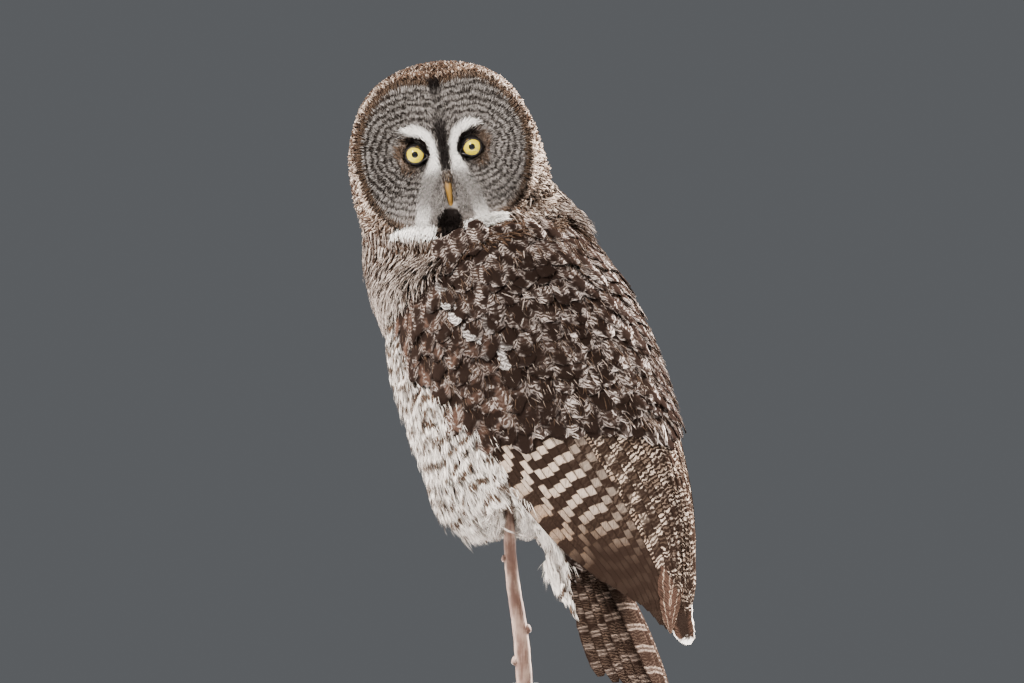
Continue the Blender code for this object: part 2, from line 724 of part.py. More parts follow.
def face_lock(start, end, half_width, rise, thick=1.2):
    """A lock of the face from (x, z) to (x, z), rooted in it and standing out by rise at its tip."""
    line, normals = [], []
    for u in (0, 0.5, 1):
        x, z = (start[n] + (end[n] - start[n]) * u for n in (0, 1))
        line.append(Vector((x, face_depth(x, z) + (-2.0 + (2.0 + rise) * u ** 0.6) * MM, z)))
        normals.append(Vector((0, 1, 0)))
    return blade("lock", line, normals, half_width * MM, thick * MM, 0.0, 0.05, ridge=False)


RUFF_COUNT, RUFF_HALF, RUFF_LONG = 20, 0.0135, 0.021
RUFF_SUNK, RUFF_CLEAR = 0.007, 0.003  # of its roots under the disc's rim, and of its tips inside the crown


def ruff_meshes(draw):
    """The short feathers that frame the facial disc."""
    vanes = []
    for k in range(RUFF_COUNT):
        t = 2 * math.pi * (k + 0.5) / RUFF_COUNT
        if abs(math.degrees(t) - 270) < 8:
            continue
        out = Vector((math.cos(t), 0, math.sin(t)))
        line, normals = [], []
        root = disc_radius(t) - RUFF_SUNK
        tall = CROWN if math.sin(t) > 0 else CHEEK_LOW
        rim = 1 / math.hypot(math.cos(t) / HEAD_HALF_WIDTH, math.sin(t) / tall)
        long = min(RUFF_LONG * draw.uniform(0.9, 1.1), rim - RUFF_CLEAR - root)
        for u in (0, 0.55, 1):
            reach = root + long * u
            forward = 0.0290 + 0.0072 * ease(0, 0.55, u) - 0.0060 * ease(0.55, 1, u) + 0.0017 * (k % 2)
            line.append(out * reach + Vector((0, forward, 0)))
            normals.append((Vector((0, 1, 0)) + out * 0.5 * u).normalized())
        vanes.append(blade("ruff", line, normals, RUFF_HALF, 1.2 * VANE_THICK, shape=ROUND, ridge=False))
    return vanes


def brow_meshes():
    """The two white crescents between the eyes, the lores beside the bill and the chin's white bow."""
    locks = []
    for side in (-1, 1):
        for k in range(2):
            end = (side * (0.011 + 0.012 * k), 0.033 - 0.0055 * k)
            locks.append(face_lock((side * 0.006, 0.004 + 0.004 * k), end, 5.0, 2.0))
            end = (side * (0.009 + 0.011 * k), -0.049 + 0.008 * k)
            locks.append(face_lock((side * (0.007 + 0.001 * k), -0.009 - 0.005 * k), end, 4.8, 2.4))
        for k in range(3):
            start = (side * (0.015 + 0.011 * k), -0.060 + 0.003 * k)
            end = (side * (0.017 + 0.0165 * k), -0.082 + 0.0038 * k)
            locks.append(face_lock(start, end, 7.0, 3.4))
    return locks


def make_head(head, finish, draw):
    rings = head_rings()
    front = Vector((0, face_depth(0, 0), 0))
    skull = ball_loft("head", rings, front, Vector((0, -HEAD_BACK, 0)))
    obj = place("head", skull, finish, head)
    lids = []
    for side in (-1, 1):
        axis = Vector((side * LID_FACING.x, LID_FACING.y, LID_FACING.z)).normalized()
        lids.append(ring_mesh("lid", eye_centre(side) + axis * LID_OUT, axis, LID_RADIUS, LID_THICK))
    fuse(obj, ruff_meshes(draw) + brow_meshes() + lids)
    to_head = head.matrix_world.inverted()
    point, up = to_head @ NECK_CUT, to_head.to_3x3() @ NECK_CUT_UP
    cut(obj, half_space(point, up))
    return obj


def eye_centre(side):
    return Vector((side * EYE_X, EYE_Y, EYE_Z))


def half_space(point, up):
    """A large closed block whose top face lies in a plane."""
    turn = up.to_track_quat("Z", "Y").to_matrix()
    block = box("block", (-REACH, -REACH, -2 * REACH), (REACH, REACH, 0))
    for vert in block.vertices:
        vert.co = turn @ vert.co + point
    return block


def bill_line(k):
    """The bill's curved middle line, 0 at its root and 1 at its tip."""
    return Vector((0, 0.043 + 0.0125 * math.sin(math.radians(20 + 125 * k)), -0.0215 - 0.035 * k))


BILL_STEPS, BILL_RADIUS, BILL_TAPER = 7, 0.0056, 0.86
JAW_ROOT, JAW_RUN = Vector((0, 0.0400, -0.0410)), Vector((0, 0.0075, -0.0095))
JAW_RADII = ((0.0, 0.0042), (0.35, 0.0039), (0.7, 0.0029), (1.0, 0.0011))  # by length
NOSTRIL_AT, NOSTRIL_OUT, NOSTRIL_RADIUS = 0.18, Vector((0.0046, 0.0016, 0)), 0.0011


def make_bill(head, horn):
    shares = [k / BILL_STEPS for k in range(BILL_STEPS + 1)]
    radii = [BILL_RADIUS * (1 - share ** 1.7 * BILL_TAPER) for share in shares]
    upper = place("bill_upper", tube("bill", [bill_line(share) for share in shares], radii, 12), horn, head)
    jaw_line = [JAW_ROOT + JAW_RUN * share for share, _ in JAW_RADII]
    lower = place("bill_lower", tube("jaw", jaw_line, [radius for _, radius in JAW_RADII], 10), horn, head)
    cut(lower, grown(upper.data))
    keep_largest(lower)
    for side in (-1, 1):
        spot = bill_line(NOSTRIL_AT) + Vector((side * NOSTRIL_OUT.x, NOSTRIL_OUT.y, 0))
        cut(upper, sphere("nostril", spot, NOSTRIL_RADIUS, 5, 8))
    return upper, lower


# Neck
NECK_STEPS = (0.0, 0.16, 0.36, 0.58, 0.8, 1.0)


def section_reach(loop, centre, direction, up):
    """How far a loop of points lies from a centre, along a direction in the loop's plane."""
    side = up.cross(direction).normalized()
    best = 0.0
    for i, a in enumerate(loop):
        b = loop[(i + 1) % len(loop)]
        ya, yb = (a - centre).dot(side), (b - centre).dot(side)
        if ya * yb <= 0 and ya != yb:
            x = (a - centre).lerp(b - centre, ya / (ya - yb)).dot(direction)
            best = max(best, x)
    return best


def head_section(matrix):
    """The loop in which the neck's plane cuts the plain head, in world space."""
    work = bmesh.new()
    skull = ball_loft("section", head_rings(), Vector((0, face_depth(0, 0), 0)), Vector((0, -HEAD_BACK, 0)))
    work.from_mesh(skull)
    bpy.data.meshes.remove(skull)
    work.transform(matrix)
    made = bmesh.ops.bisect_plane(
        work, geom=work.verts[:] + work.edges[:] + work.faces[:], plane_co=NECK_CUT, plane_no=NECK_CUT_UP,
        clear_outer=True,
    )
    edges = [e for e in made["geom_cut"] if isinstance(e, bmesh.types.BMEdge)]
    vert, last, loop = edges[0].verts[0], None, []
    while not loop or vert is not start:
        if not loop:
            start = vert
        loop.append(vert.co.copy())
        step = next(e for e in vert.link_edges if e in edges and e is not last)
        vert, last = step.other_vert(vert), step
    work.free()
    return loop


def make_neck(body, head, finish):
    turn = body.matrix_world
    loop = head_section(head.matrix_world)
    centre = sum(loop, Vector()) / len(loop)
    low_ring = [turn @ p for p in torso_ring(TORSO_TOP)]
    along = turn.to_3x3() @ Vector((0, 0, 1))
    low_centre = sum(low_ring, Vector()) / len(low_ring)
    rings = [[] for _ in NECK_STEPS]
    for point in low_ring:
        way = point - low_centre
        flat = (way - NECK_CUT_UP * way.dot(NECK_CUT_UP)).normalized()
        top = centre + flat * section_reach(loop, centre, flat, NECK_CUT_UP)
        start = point + along * GAP
        end = top - NECK_CUT_UP * GAP
        span = (end - start).length
        nape = max(flat.x, 0.0) ** 2
        rise = (along * 0.8 + way.normalized() * 0.02) * span * 1.3
        arrive = (NECK_CUT_UP - flat * (0.25 + 0.45 * nape)) * (span * 0.9)
        for ring, t in zip(rings, NECK_STEPS):
            ring.append(
                start * (2 * t**3 - 3 * t**2 + 1) + rise * (t**3 - 2 * t**2 + t)
                + end * (3 * t**2 - 2 * t**3) + arrive * (t**3 - t**2)
            )
    mesh = loft("neck", rings)
    mesh.transform(turn.inverted())
    return place("neck", mesh, finish, body)


# Legs, feet and perch
def stem_point(z):
    return Vector((curve(STEM_LINE, z), STEM_Y, z))


def stem_radius(z):
    share = ease(STEM_LINE[0][0], STEM_LINE[-1][0], z)
    return STEM_FOOT_RADIUS + (STEM_TIP_RADIUS - STEM_FOOT_RADIUS) * share


def make_stem(bark):
    foot, tip = STEM_LINE[0][0], STEM_LINE[-1][0]
    heights = [foot + (tip - foot) * k / 9 for k in range(10)]
    radii = [stem_radius(z) for z in heights]
    stem = place("perch_stem", tube("stem", [stem_point(z) for z in heights], radii, 10), bark)
    knots = []
    for z, side, size in STEM_KNOTS:
        out = Vector((math.cos(math.radians(side)), 0, 0))
        knots.append(sphere("knot", stem_point(z) + out * stem_radius(z) * 0.75, size, 5, 8, (1, 1, 1.5)))
    fuse(stem, knots)
    return stem


TOE_RADIUS = 0.0046
# Toes as (start and sweep round the stem in degrees, shift along it)
TOES = ((18, 100, 0.0), (-18, -100, 0.0), (30, 88, 0.0098), (-30, -88, 0.0098))
# Feet as (side, height of the grip, side of the palm in degrees from +X towards +Y, and whether the second
# pair of toes lies below (-1) or above (1) the first)
FEET = (("left", 0.2340, -140, -1), ("right", 0.2458, 40, 1))
PALM_OUT, PALM_RADIUS, PALM_SHIFT = 0.0155, 0.0092, 0.0035
ANKLE_UP = 0.004  # of the leg's end over the palm
LEG_TOP_OUT, LEG_TOP_UP = 0.020, 0.058
LEG_LEAN = Vector((0.016, -0.012, 0))
LEG_RADII = (0.0105, 0.0170, 0.0205)
POCKET_TOP = 0.272


def beside_stem(z, degrees, out):
    t = math.radians(degrees)
    return stem_point(z) + Vector((math.cos(t), math.sin(t), 0)) * out


def leg_line(grip, palm_side, way):
    """The feathered leg's middle line, from above the palm up into the belly."""
    foot = beside_stem(grip + way * PALM_SHIFT + ANKLE_UP, palm_side, PALM_OUT)
    top = beside_stem(grip + LEG_TOP_UP, palm_side, PALM_OUT + LEG_TOP_OUT) + LEG_LEAN
    return [foot.lerp(top, k) for k in (0.0, 0.5, 1.0)]


def make_leg(name, grip, palm_side, way, finish):
    return place(name, tube(name, leg_line(grip, palm_side, way), LEG_RADII, 10), finish)


def foot_meshes(grip, palm_side, way):
    pieces = [sphere("palm", beside_stem(grip + way * PALM_SHIFT, palm_side, PALM_OUT), PALM_RADIUS, 6, 10)]
    for start, sweep, shift in TOES:
        line, radii = [], []
        for k in range(6):
            u = k / 5
            z = grip + way * shift * ease(0, 0.6, u)
            reach = stem_radius(z) + TOE_RADIUS - 0.3 * MM
            out = reach + (PALM_OUT - reach) * (1 - ease(0, 0.28, u))
            if u > 0.8:
                out -= 0.0012
            line.append(beside_stem(z, palm_side + start * ease(0, 0.3, u) + sweep * u, out))
            radii.append(TOE_RADIUS * (1.0, 1.0, 1.0, 0.98, 0.62, 0.16)[k])
        pieces.append(tube("toe", line, radii, 7))
    return pieces


def make_foot(name, grip, palm_side, way, horn, stem):
    pieces = foot_meshes(grip, palm_side, way)
    foot = place(name, pieces[0], horn)
    fuse(foot, pieces[1:])
    cut(foot, grown(stem.data))
    keep_largest(foot)
    return foot


def pocket_meshes():
    """The room among the belly feathers for the feet and the stem, and the parting over the stem."""
    heights = (0.150, 0.200, 0.228, 0.250, 0.268, POCKET_TOP)
    reach = (0.014, 0.016, 0.026, 0.029, 0.026, 0.016)
    room = []
    for z, out in zip(heights, reach):
        room.append([beside_stem(z, 30 * j, out) for j in range(12)])
    top = stem_point(0.236)
    parting = []
    for y, wide in ((STEM_Y + 0.006, 0.012), (STEM_Y - 0.14, 0.017)):
        low = Vector((top.x + 0.006, y, 0.160))
        parting.append([
            Vector((top.x - wide * 0.35, y, top.z)), Vector((top.x + wide * 0.35, y, top.z)),
            low + Vector((wide, 0, 0)), low - Vector((wide, 0, 0)),
        ])
    return loft("room", room), loft("parting", parting)


# Belly: the ragged lower fringe of the long belly feathers, as (root z, tip z, how many, lift in mm)
FRINGE_ROWS = ((-0.062, -0.116, 8, 2.6), (-0.034, -0.086, 5, 1.6))
FRINGE_REACH, FRINGE_HALF, FRINGE_THICK = 84, 0.018, 0.0014


def dress_torso(torso):
    """Joins the mantle's feathers and the fringe of the belly to the torso."""
    locks = mantle_meshes()
    for root, tip, count, lift in FRINGE_ROWS:
        for k in range(count):
            angle = FRINGE_REACH * ((k + 0.5) / count * 2 - 1)
            line, normals = [], []
            for u in (0, 0.5, 1):
                z = root + (tip - root) * u
                line.append(torso_point(z, angle, (-2.5 + (2.5 + lift + 1.7 * (k % 2)) * u ** 0.5) * MM))
                here, out = torso_point(z, angle), torso_point(z, angle, 0.01)
                normals.append((out - here).normalized())
            locks.append(blade("fringe", line, normals, FRINGE_HALF, FRINGE_THICK, shape=ROUND, ridge=False))
    fuse(torso, locks)


# Stand
def level_ring(z, radius, sides):
    """A level ring of points round the foot of the stem."""
    middle = stem_point(STEM_LINE[0][0])
    return [
        Vector((middle.x + radius * math.cos(t), middle.y + radius * math.sin(t), z))
        for t in (2 * math.pi * j / sides for j in range(sides))
    ]


def make_collar(steel, stem):
    turned = (
        (COLLAR_FOOT, COLLAR_RADIUS - 0.0055), (COLLAR_FOOT + 0.002, COLLAR_RADIUS - 0.0035),
        (COLLAR_FOOT + 0.004, COLLAR_RADIUS), (COLLAR_TOP - 0.0015, COLLAR_RADIUS),
        (COLLAR_TOP, COLLAR_RADIUS - 0.0015),
    )
    rings = [level_ring(z, radius, 20) for z, radius in turned]
    collar = place("stand_collar", loft("collar", rings), steel)
    cut(collar, grown(stem.data))
    smooth_shaded(collar)
    return collar


def make_rod(steel):
    rings = [level_ring(z, ROD_RADIUS, 16) for z in (BASE_THICK + GAP, COLLAR_FOOT - GAP)]
    rod = place("stand_rod", loft("rod", rings), steel)
    smooth_shaded(rod)
    return rod


def make_base(paint):
    rings, edge = [], BASE_EDGE
    profile = (
        (0, edge * 0.4), (edge * 0.4, 0), (BASE_THICK - edge, 0), (BASE_THICK - edge * 0.3, edge * 0.3),
        (BASE_THICK, edge),
    )
    for z, inset in profile:
        ring = []
        for corner in range(4):
            for k in range(6):
                t = math.pi / 2 * (corner + k / 5)
                at = BASE_SIDE / 2 - BASE_CORNER
                sx = at if corner in (0, 3) else -at
                sy = at if corner in (0, 1) else -at
                radius = BASE_CORNER - inset
                ring.append(Vector((sx + radius * math.cos(t), sy + radius * math.sin(t), z)))
        rings.append(ring)
    base = place("stand_base", loft("base", rings), paint)
    smooth_shaded(base)
    return base


def clear_scene():
    for obj in list(bpy.data.objects):
        bpy.data.objects.remove(obj)


def main():
    clear_scene()
    draw = random.Random(SEED)
    body = frame_empty("body_frame", body_matrix())
    head = frame_empty("head_frame", head_matrix())
    plumage = material("plumage", (0.20, 0.16, 0.13), 0.8)
    flight = material("flight_feathers", (0.16, 0.11, 0.08), 0.7)
    horn = material("bill_horn", (0.62, 0.42, 0.08), 0.4)
    bark = material("bark", (0.22, 0.13, 0.11), 0.85)
    scales = material("toes", (0.30, 0.25, 0.20), 0.8)
    iris = material("eye", (0.85, 0.68, 0.05), 0.15)
    steel = material("stand_steel", (0.45, 0.45, 0.46), 0.35, 1.0)
    paint = material("stand_paint", (0.03, 0.03, 0.032), 0.45)
    torso = make_torso(body, plumage)
    make_wing("wing_left", -1, body, flight, draw, torso)
    make_wing("wing_right", 1, body, flight, draw, torso)
    dress_torso(torso)
    make_tail(body, flight)
    make_neck(body, head, plumage)
    skull = make_head(head, plumage, draw)
    upper, lower = make_bill(head, horn)
    for mesh in (grown(upper.data), grown(lower.data)):
        cut(skull, mesh)
    for side, name in ((-1, "eye_left"), (1, "eye_right")):
        ball = sphere(name, eye_centre(side), EYE_RADIUS, 7, 14)
        cut(skull, grown(ball, 2 * GAP))
        smooth_shaded(place(name, ball, iris, head))
    keep_largest(skull)
    stem = make_stem(bark)
    for mesh in pocket_meshes():
        cut(torso, mesh, stem)
    for side, grip, palm_side, way in FEET:
        foot = make_foot("foot_" + side, grip, palm_side, way, scales, stem)
        leg = make_leg("leg_" + side, grip, palm_side, way, plumage)
        cut(torso, grown(leg.data), leg)
        cut(leg, grown(foot.data))
        cut(leg, grown(stem.data))
        keep_largest(leg)
    keep_largest(torso)
    make_collar(steel, stem)
    make_rod(steel)
    make_base(paint)


if __name__ == "__main__":
    main()
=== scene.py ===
# %% [markdown]
# # A great grey owl in its feathers
# The solids give this bird its size, its pose and the tiers of its wings and tail. This file dresses
# them. A bird is a small body in a thick coat, so the work goes from the inside out: a bare skin, the
# eyes and the bill, then feathers laid in rows from the tail up to the face.

# %% Load the solids
import math

import bmesh
import bpy
import numpy as np
from mathutils import Matrix, Vector


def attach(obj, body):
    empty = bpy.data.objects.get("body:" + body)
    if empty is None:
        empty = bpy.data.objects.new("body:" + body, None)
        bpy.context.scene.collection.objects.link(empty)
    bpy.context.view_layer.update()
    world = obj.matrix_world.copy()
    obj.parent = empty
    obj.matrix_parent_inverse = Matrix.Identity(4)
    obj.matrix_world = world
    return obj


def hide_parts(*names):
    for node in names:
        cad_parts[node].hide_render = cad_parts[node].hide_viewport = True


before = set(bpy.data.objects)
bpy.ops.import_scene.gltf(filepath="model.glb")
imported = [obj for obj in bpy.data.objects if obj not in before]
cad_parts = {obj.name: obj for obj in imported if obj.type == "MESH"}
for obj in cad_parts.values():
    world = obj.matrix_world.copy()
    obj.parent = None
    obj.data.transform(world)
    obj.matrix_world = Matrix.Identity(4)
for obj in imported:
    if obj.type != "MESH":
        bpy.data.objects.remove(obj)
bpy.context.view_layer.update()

# %% [markdown]
# ## Where the bird is
# Two small frames of axes save a lot of thinking. In the body's frame, z runs along the back to the neck,
# y points out of the breast and x to the bird's right. In the head's frame, y looks out of the face. The
# head is turned over the left shoulder, so the two frames differ by most of a half turn.

# %% Axes of body and head
MM = 0.001
FACING, LEAN, HEAD_ROLL = math.radians(40), math.radians(30.2), math.radians(8)
BODY_CENTRE = np.array((-0.0076, 0.004, 0.3259))
HEAD_CENTRE = np.array((-0.0985, 0.060, 0.5620))


def axes(right, along):
    """Rows x, y, z of a frame whose x is right and whose z is along."""
    return np.array((right, np.cross(along, right), along))


ahead = np.array((-math.cos(FACING), math.sin(FACING), 0))
body_right = np.array((math.sin(FACING), math.cos(FACING), 0))
BODY = axes(body_right, ahead * math.sin(LEAN) + np.array((0, 0, math.cos(LEAN))))
head_up = np.array((-math.sin(HEAD_ROLL), 0, math.cos(HEAD_ROLL)))
HEAD = axes(np.cross((0, -1, 0), head_up), head_up)


def from_body(points):
    return BODY_CENTRE + points @ BODY


def to_body(points):
    return (points - BODY_CENTRE) @ BODY.T


def from_head(points):
    return HEAD_CENTRE + points @ HEAD


def to_head(points):
    return (points - HEAD_CENTRE) @ HEAD.T


print("breast faces", BODY[1].round(2), "face looks", HEAD[1].round(2))

# %% [markdown]
# ## The shape as a few curves
# The folded bird is nearly an oval tube whose width and depth change along the back, so a few stations
# and a smooth curve through them say where any feather lies. These are the same driving sizes that the
# solids were built from. All the functions work on whole arrays, because a coat has thousands of roots.

# %% Curves and the body's outline
HALF_WIDTH = (
    (-0.272, 0.022), (-0.240, 0.036), (-0.200, 0.053), (-0.160, 0.070), (-0.125, 0.086),
    (-0.090, 0.103), (-0.050, 0.115), (0.0, 0.120), (0.050, 0.119), (0.100, 0.112), (0.165, 0.096),
)
BACK_DEPTH = (
    (-0.272, 0.053), (-0.230, 0.079), (-0.190, 0.099), (-0.150, 0.111), (-0.100, 0.117),
    (-0.050, 0.119), (0.0, 0.124), (0.050, 0.124), (0.100, 0.118), (0.165, 0.105),
)
BELLY_DEPTH = (
    (-0.128, 0.040), (-0.110, 0.084), (-0.090, 0.116), (-0.068, 0.136), (-0.038, 0.141),
    (0.003, 0.132), (0.036, 0.130), (0.086, 0.123), (0.125, 0.113), (0.165, 0.098),
)
WING_EDGE = (
    (-0.272, 122), (-0.240, 117), (-0.200, 109), (-0.150, 103), (-0.074, 100), (-0.030, 97), (0.0, 94),
    (0.034, 89), (0.058, 80), (0.097, 75), (0.165, 77),
)
WING_TOP = ((-0.272, 178.0), (-0.020, 179.0), (0.030, 174), (0.075, 163), (0.125, 150))


def curve(stations, at):
    """Smooth values at many places, from a short list of (place, value) stations."""
    x, y = np.array(sorted(stations), float).T
    slope = np.empty_like(y)
    slope[1:-1] = (y[2:] - y[:-2]) / (x[2:] - x[:-2])
    slope[0], slope[-1] = (y[1] - y[0]) / (x[1] - x[0]), (y[-1] - y[-2]) / (x[-1] - x[-2])
    at = np.clip(at, x[0], x[-1])
    i = np.clip(np.searchsorted(x, at, side="right") - 1, 0, len(x) - 2)
    span = x[i + 1] - x[i]
    t = (at - x[i]) / span
    return (
        (2 * t**3 - 3 * t**2 + 1) * y[i] + (t**3 - 2 * t**2 + t) * span * slope[i]
        + (3 * t**2 - 2 * t**3) * y[i + 1] + (t**3 - t**2) * span * slope[i + 1]
    )


def ease(low, high, at):
    """0 below low, 1 above high and smooth between."""
    t = np.clip((np.asarray(at, float) - low) / (high - low), 0, 1)
    return t * t * (3 - 2 * t)


def unit(vectors):
    return vectors / np.maximum(np.linalg.norm(vectors, axis=-1, keepdims=True), 1e-12)


def outline(z, degrees, out=0.0):
    """Points of the body's outline in its own frame; 0 degrees is the breastbone and 180 the spine."""
    turn = np.radians(degrees)
    half = curve(HALF_WIDTH, z)
    deep = np.where(np.cos(turn) > 0, curve(BELLY_DEPTH, z), curve(BACK_DEPTH, z))
    normal = unit(np.stack((np.sin(turn) / half, np.cos(turn) / deep, np.zeros_like(turn + z)), -1))
    flat = np.stack((half * np.sin(turn), deep * np.cos(turn), z + np.zeros_like(turn)), -1)
    return flat + normal * np.asarray(out)[..., None]


print("girth at the shoulders", round(4 * float(curve(HALF_WIDTH, 0.05)) * 1.57, 3), "m")

# %% [markdown]
# ## The view
# The photo was taken with a long lens from level with the bird. At 0.95 mm a pixel the picture is
# 0.97 m wide at the bird, so a camera 8 m away with a lens of nearly 300 mm gives the same flat view.

# %% Camera
MM_PER_PIXEL = 0.95 * MM
PICTURE_WIDTH = 1024 * MM_PER_PIXEL
CAMERA_BACK = 8.0
VIEW_CENTRE = Vector((-0.03325, 0, 0.38095))
camera_data = bpy.data.cameras.new("camera")
camera_data.sensor_width = 36
camera_data.lens = camera_data.sensor_width * CAMERA_BACK / PICTURE_WIDTH
camera_data.clip_end = 50
camera = bpy.data.objects.new("camera", camera_data)
camera.location = VIEW_CENTRE - Vector((0, CAMERA_BACK, 0))
camera.rotation_euler = (math.radians(90), 0, 0)
bpy.context.scene.collection.objects.link(camera)
bpy.context.scene.camera = camera
print("lens", round(camera_data.lens), "mm")

# %% [markdown]
# ## Light
# Soft daylight comes from the sky all round. A lamp stands high in front on the left, a weak one fills
# the shadows from the right, and two lamps behind the bird make its loose feather edges glow, as they do
# in the photo.

# %% Lamps and sky
WORLD_COLOUR, WORLD_STRENGTH = (0.108, 0.114, 0.122, 1), 1.0
LAMPS = (  # name, place, side in m, watts
    ("key", (-1.8, -2.6, 3.4), 1.0, 620),
    ("fill", (2.8, -2.4, 1.2), 2.0, 90),
    ("rim_left", (-2.2, 1.0, 1.6), 0.9, 520),
    ("rim_right", (1.7, 1.9, 1.8), 0.9, 2100),
)


def pointed_at(place, target):
    return (Vector(target) - Vector(place)).to_track_quat("-Z", "Y").to_euler()


for name, place, side, watts in LAMPS:
    lamp = bpy.data.lights.new(name, "AREA")
    lamp.size, lamp.energy, lamp.color = side, watts, (1.0, 0.95, 0.90)
    lamp_object = bpy.data.objects.new(name, lamp)
    lamp_object.location, lamp_object.rotation_euler = place, pointed_at(place, (0, 0, 0.4))
    bpy.context.scene.collection.objects.link(lamp_object)

world = bpy.data.worlds.new("sky")
world.use_nodes = True
world.node_tree.nodes["Background"].inputs["Color"].default_value = WORLD_COLOUR
world.node_tree.nodes["Background"].inputs["Strength"].default_value = WORLD_STRENGTH
bpy.context.scene.world = world

# %% [markdown]
# ## Working with operators
# An operator acts on all that is selected, so each step first says what it works on. A finished piece keeps
# its place in its mesh, as the solids do. The floor, a pale disc small enough to stay below the picture, is
# the first piece that is made this way.

# %% Tools for operators, and the floor
FLOOR_RADIUS, FLOOR_DROP = 1.2, 0.0005


def select_nothing():
    bpy.ops.object.select_all(action="DESELECT")


def take(*objects):
    """Selects these objects alone, the first of them active."""
    select_nothing()
    for obj in objects:
        obj.select_set(True)
    bpy.context.view_layer.objects.active = objects[0]


def put_at_origin(obj):
    take(obj)
    bpy.ops.object.transform_apply(location=True, rotation=True, scale=True)


def count_triangles(obj):
    obj.data.calc_loop_triangles()
    return len(obj.data.loop_triangles)


def wear(piece, slot, *nodes):
    """Sets a piece on the one body and hides the solids that it stands for; its slot is not used."""
    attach(piece, "root")
    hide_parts(*nodes)
    print(piece.name, count_triangles(piece), "triangles")


select_nothing()
bpy.ops.mesh.primitive_circle_add(
    vertices=64, radius=FLOOR_RADIUS, fill_type="NGON", location=(0, 0, -FLOOR_DROP),
)
floor = bpy.context.object
floor.name = "floor"
put_at_origin(floor)

# %% [markdown]
# ## Writing a material as sums
# A pattern is a formula, and a formula is easier to read as a line of Python than as a web of nodes. A
# Wire holds one socket and knows plus, minus and times, with the wire on either side of the sign, so
# that 1 - mask works too. Each sum adds its own Math node. Finish is one material with the single method
# that adds any other node.

# %% Wire and Finish
class Wire:
    """One output socket that sums can be written with."""

    def __init__(self, finish, socket):
        self.finish, self.socket = finish, socket

    def maths(self, operation, *values):
        return self.finish.node("ShaderNodeMath", {"operation": operation}, dict(enumerate(values)))

    def __add__(self, other):
        return self.maths("ADD", self, other)

    def __sub__(self, other):
        return self.maths("SUBTRACT", self, other)

    def __rsub__(self, other):
        return self.maths("SUBTRACT", other, self)

    def __mul__(self, other):
        return self.maths("MULTIPLY", self, other)

    __radd__, __rmul__ = __add__, __mul__

    def sine(self):
        return self.maths("SINE", self)

    def size(self):
        return self.maths("ABSOLUTE", self)

    def most(self, other):
        return self.maths("MAXIMUM", self, other)

    def eased(self, low, high):
        """0 below low, 1 above high and smooth between."""
        return self.finish.node(
            "ShaderNodeMapRange", {"interpolation_type": "SMOOTHSTEP"}, {0: self, 1: low, 2: high},
        )


class Finish:
    """A material round one Principled shader."""

    def __init__(self, name, roughness, **fixed):
        self.material = bpy.data.materials.new(name)
        self.material.use_nodes = True
        self.tree = self.material.node_tree
        self.shader = self.tree.nodes["Principled BSDF"]
        self.shader.inputs["Roughness"].default_value = roughness
        for socket, value in fixed.items():
            self.shader.inputs[socket.replace("_", " ").title().replace("Ior", "IOR")].default_value = value

    def node(self, kind, settings, sockets, output=0):
        """Adds a node: its settings first, then the values or wires of its sockets."""
        made = self.tree.nodes.new(kind)
        for key, value in settings.items():
            setattr(made, key, value)
        for key, value in sockets.items():
            if isinstance(value, Wire):
                self.tree.links.new(value.socket, made.inputs[key])
            else:
                made.inputs[key].default_value = value
        return Wire(self, made.outputs[output])

    def place(self):
        return self.node("ShaderNodeTexCoord", {}, {}, "Object")

    def attribute(self, name):
        return self.node("ShaderNodeAttribute", {"attribute_name": name}, {}, "Fac")

    def uv(self):
        """Places across and along a feather as wires."""
        both = self.node("ShaderNodeUVMap", {"uv_map": "Feather"}, {})
        return [self.node("ShaderNodeSeparateXYZ", {}, {0: both}, k) for k in (0, 1)]

    def vector(self, x, y, z):
        return self.node("ShaderNodeCombineXYZ", {}, {0: x, 1: y, 2: z})

    def noise(self, at, scale, detail=2.0):
        return self.node(
            "ShaderNodeTexNoise", {}, {"Vector": at, "Scale": scale, "Detail": detail}, "Fac",
        )

    def mix(self, low, high, share):
        """A colour that is low where share is 0 and high where it is 1."""
        return self.node("ShaderNodeMix", {"data_type": "RGBA"}, {0: share, 6: low, 7: high}, 2)

    def feed(self, socket, wire):
        self.tree.links.new(wire.socket, self.shader.inputs[socket])

    def bump(self, height, distance, strength):
        self.feed("Normal", self.node(
            "ShaderNodeBump", {}, {"Strength": strength, "Distance": distance, "Height": height},
        ))


def paint(red, green, blue):
    return (red, green, blue, 1)


matt = Finish("pale_floor", 0.9)
pale_grey = matt.mix(paint(0.66, 0.67, 0.68), paint(0.70, 0.71, 0.72), matt.noise(matt.place(), 3))
matt.feed("Base Color", pale_grey)
floor.data.materials.append(matt.material)

# %% [markdown]
# ## The bare skin
# Under its coat the owl is one closed skin with no seams, so the skin starts from the solids of the flesh
# themselves: they are copied, joined, and wrapped by a voxel remesh, which forgets the cuts between them
# and the thin vanes. Smoothing rounds it, and pushing it inwards by the coat's depth leaves the room that
# the feathers fill. The face has a much thinner coat than the neck, so a vertex group sets the depth.

# %% Skin
SKIN_VOXEL = 0.0036
COAT_DEPTH, FACE_DEPTH, CROWN_DEPTH, LEG_DEPTH = 0.0075, 0.0022, 0.0034, 0.0025
FLESH = ("torso", "neck", "head", "leg_left", "leg_right", "wing_left", "wing_right", "tail")
WING_FLESH_END, TAIL_FLESH_END = -0.095, -0.190  # along the body; what hangs lower is feather alone
PLUGS = (  # place and radius of the balls that bridge the cuts at the shoulders, the neck and the vent
    (from_body(np.array((0.0, 0.0, 0.122))), 0.085),
    (HEAD_CENTRE + (0.008, 0.004, -0.062), 0.068),
    (from_body(np.array((0.0, 0.022, -0.130))), 0.026),
)


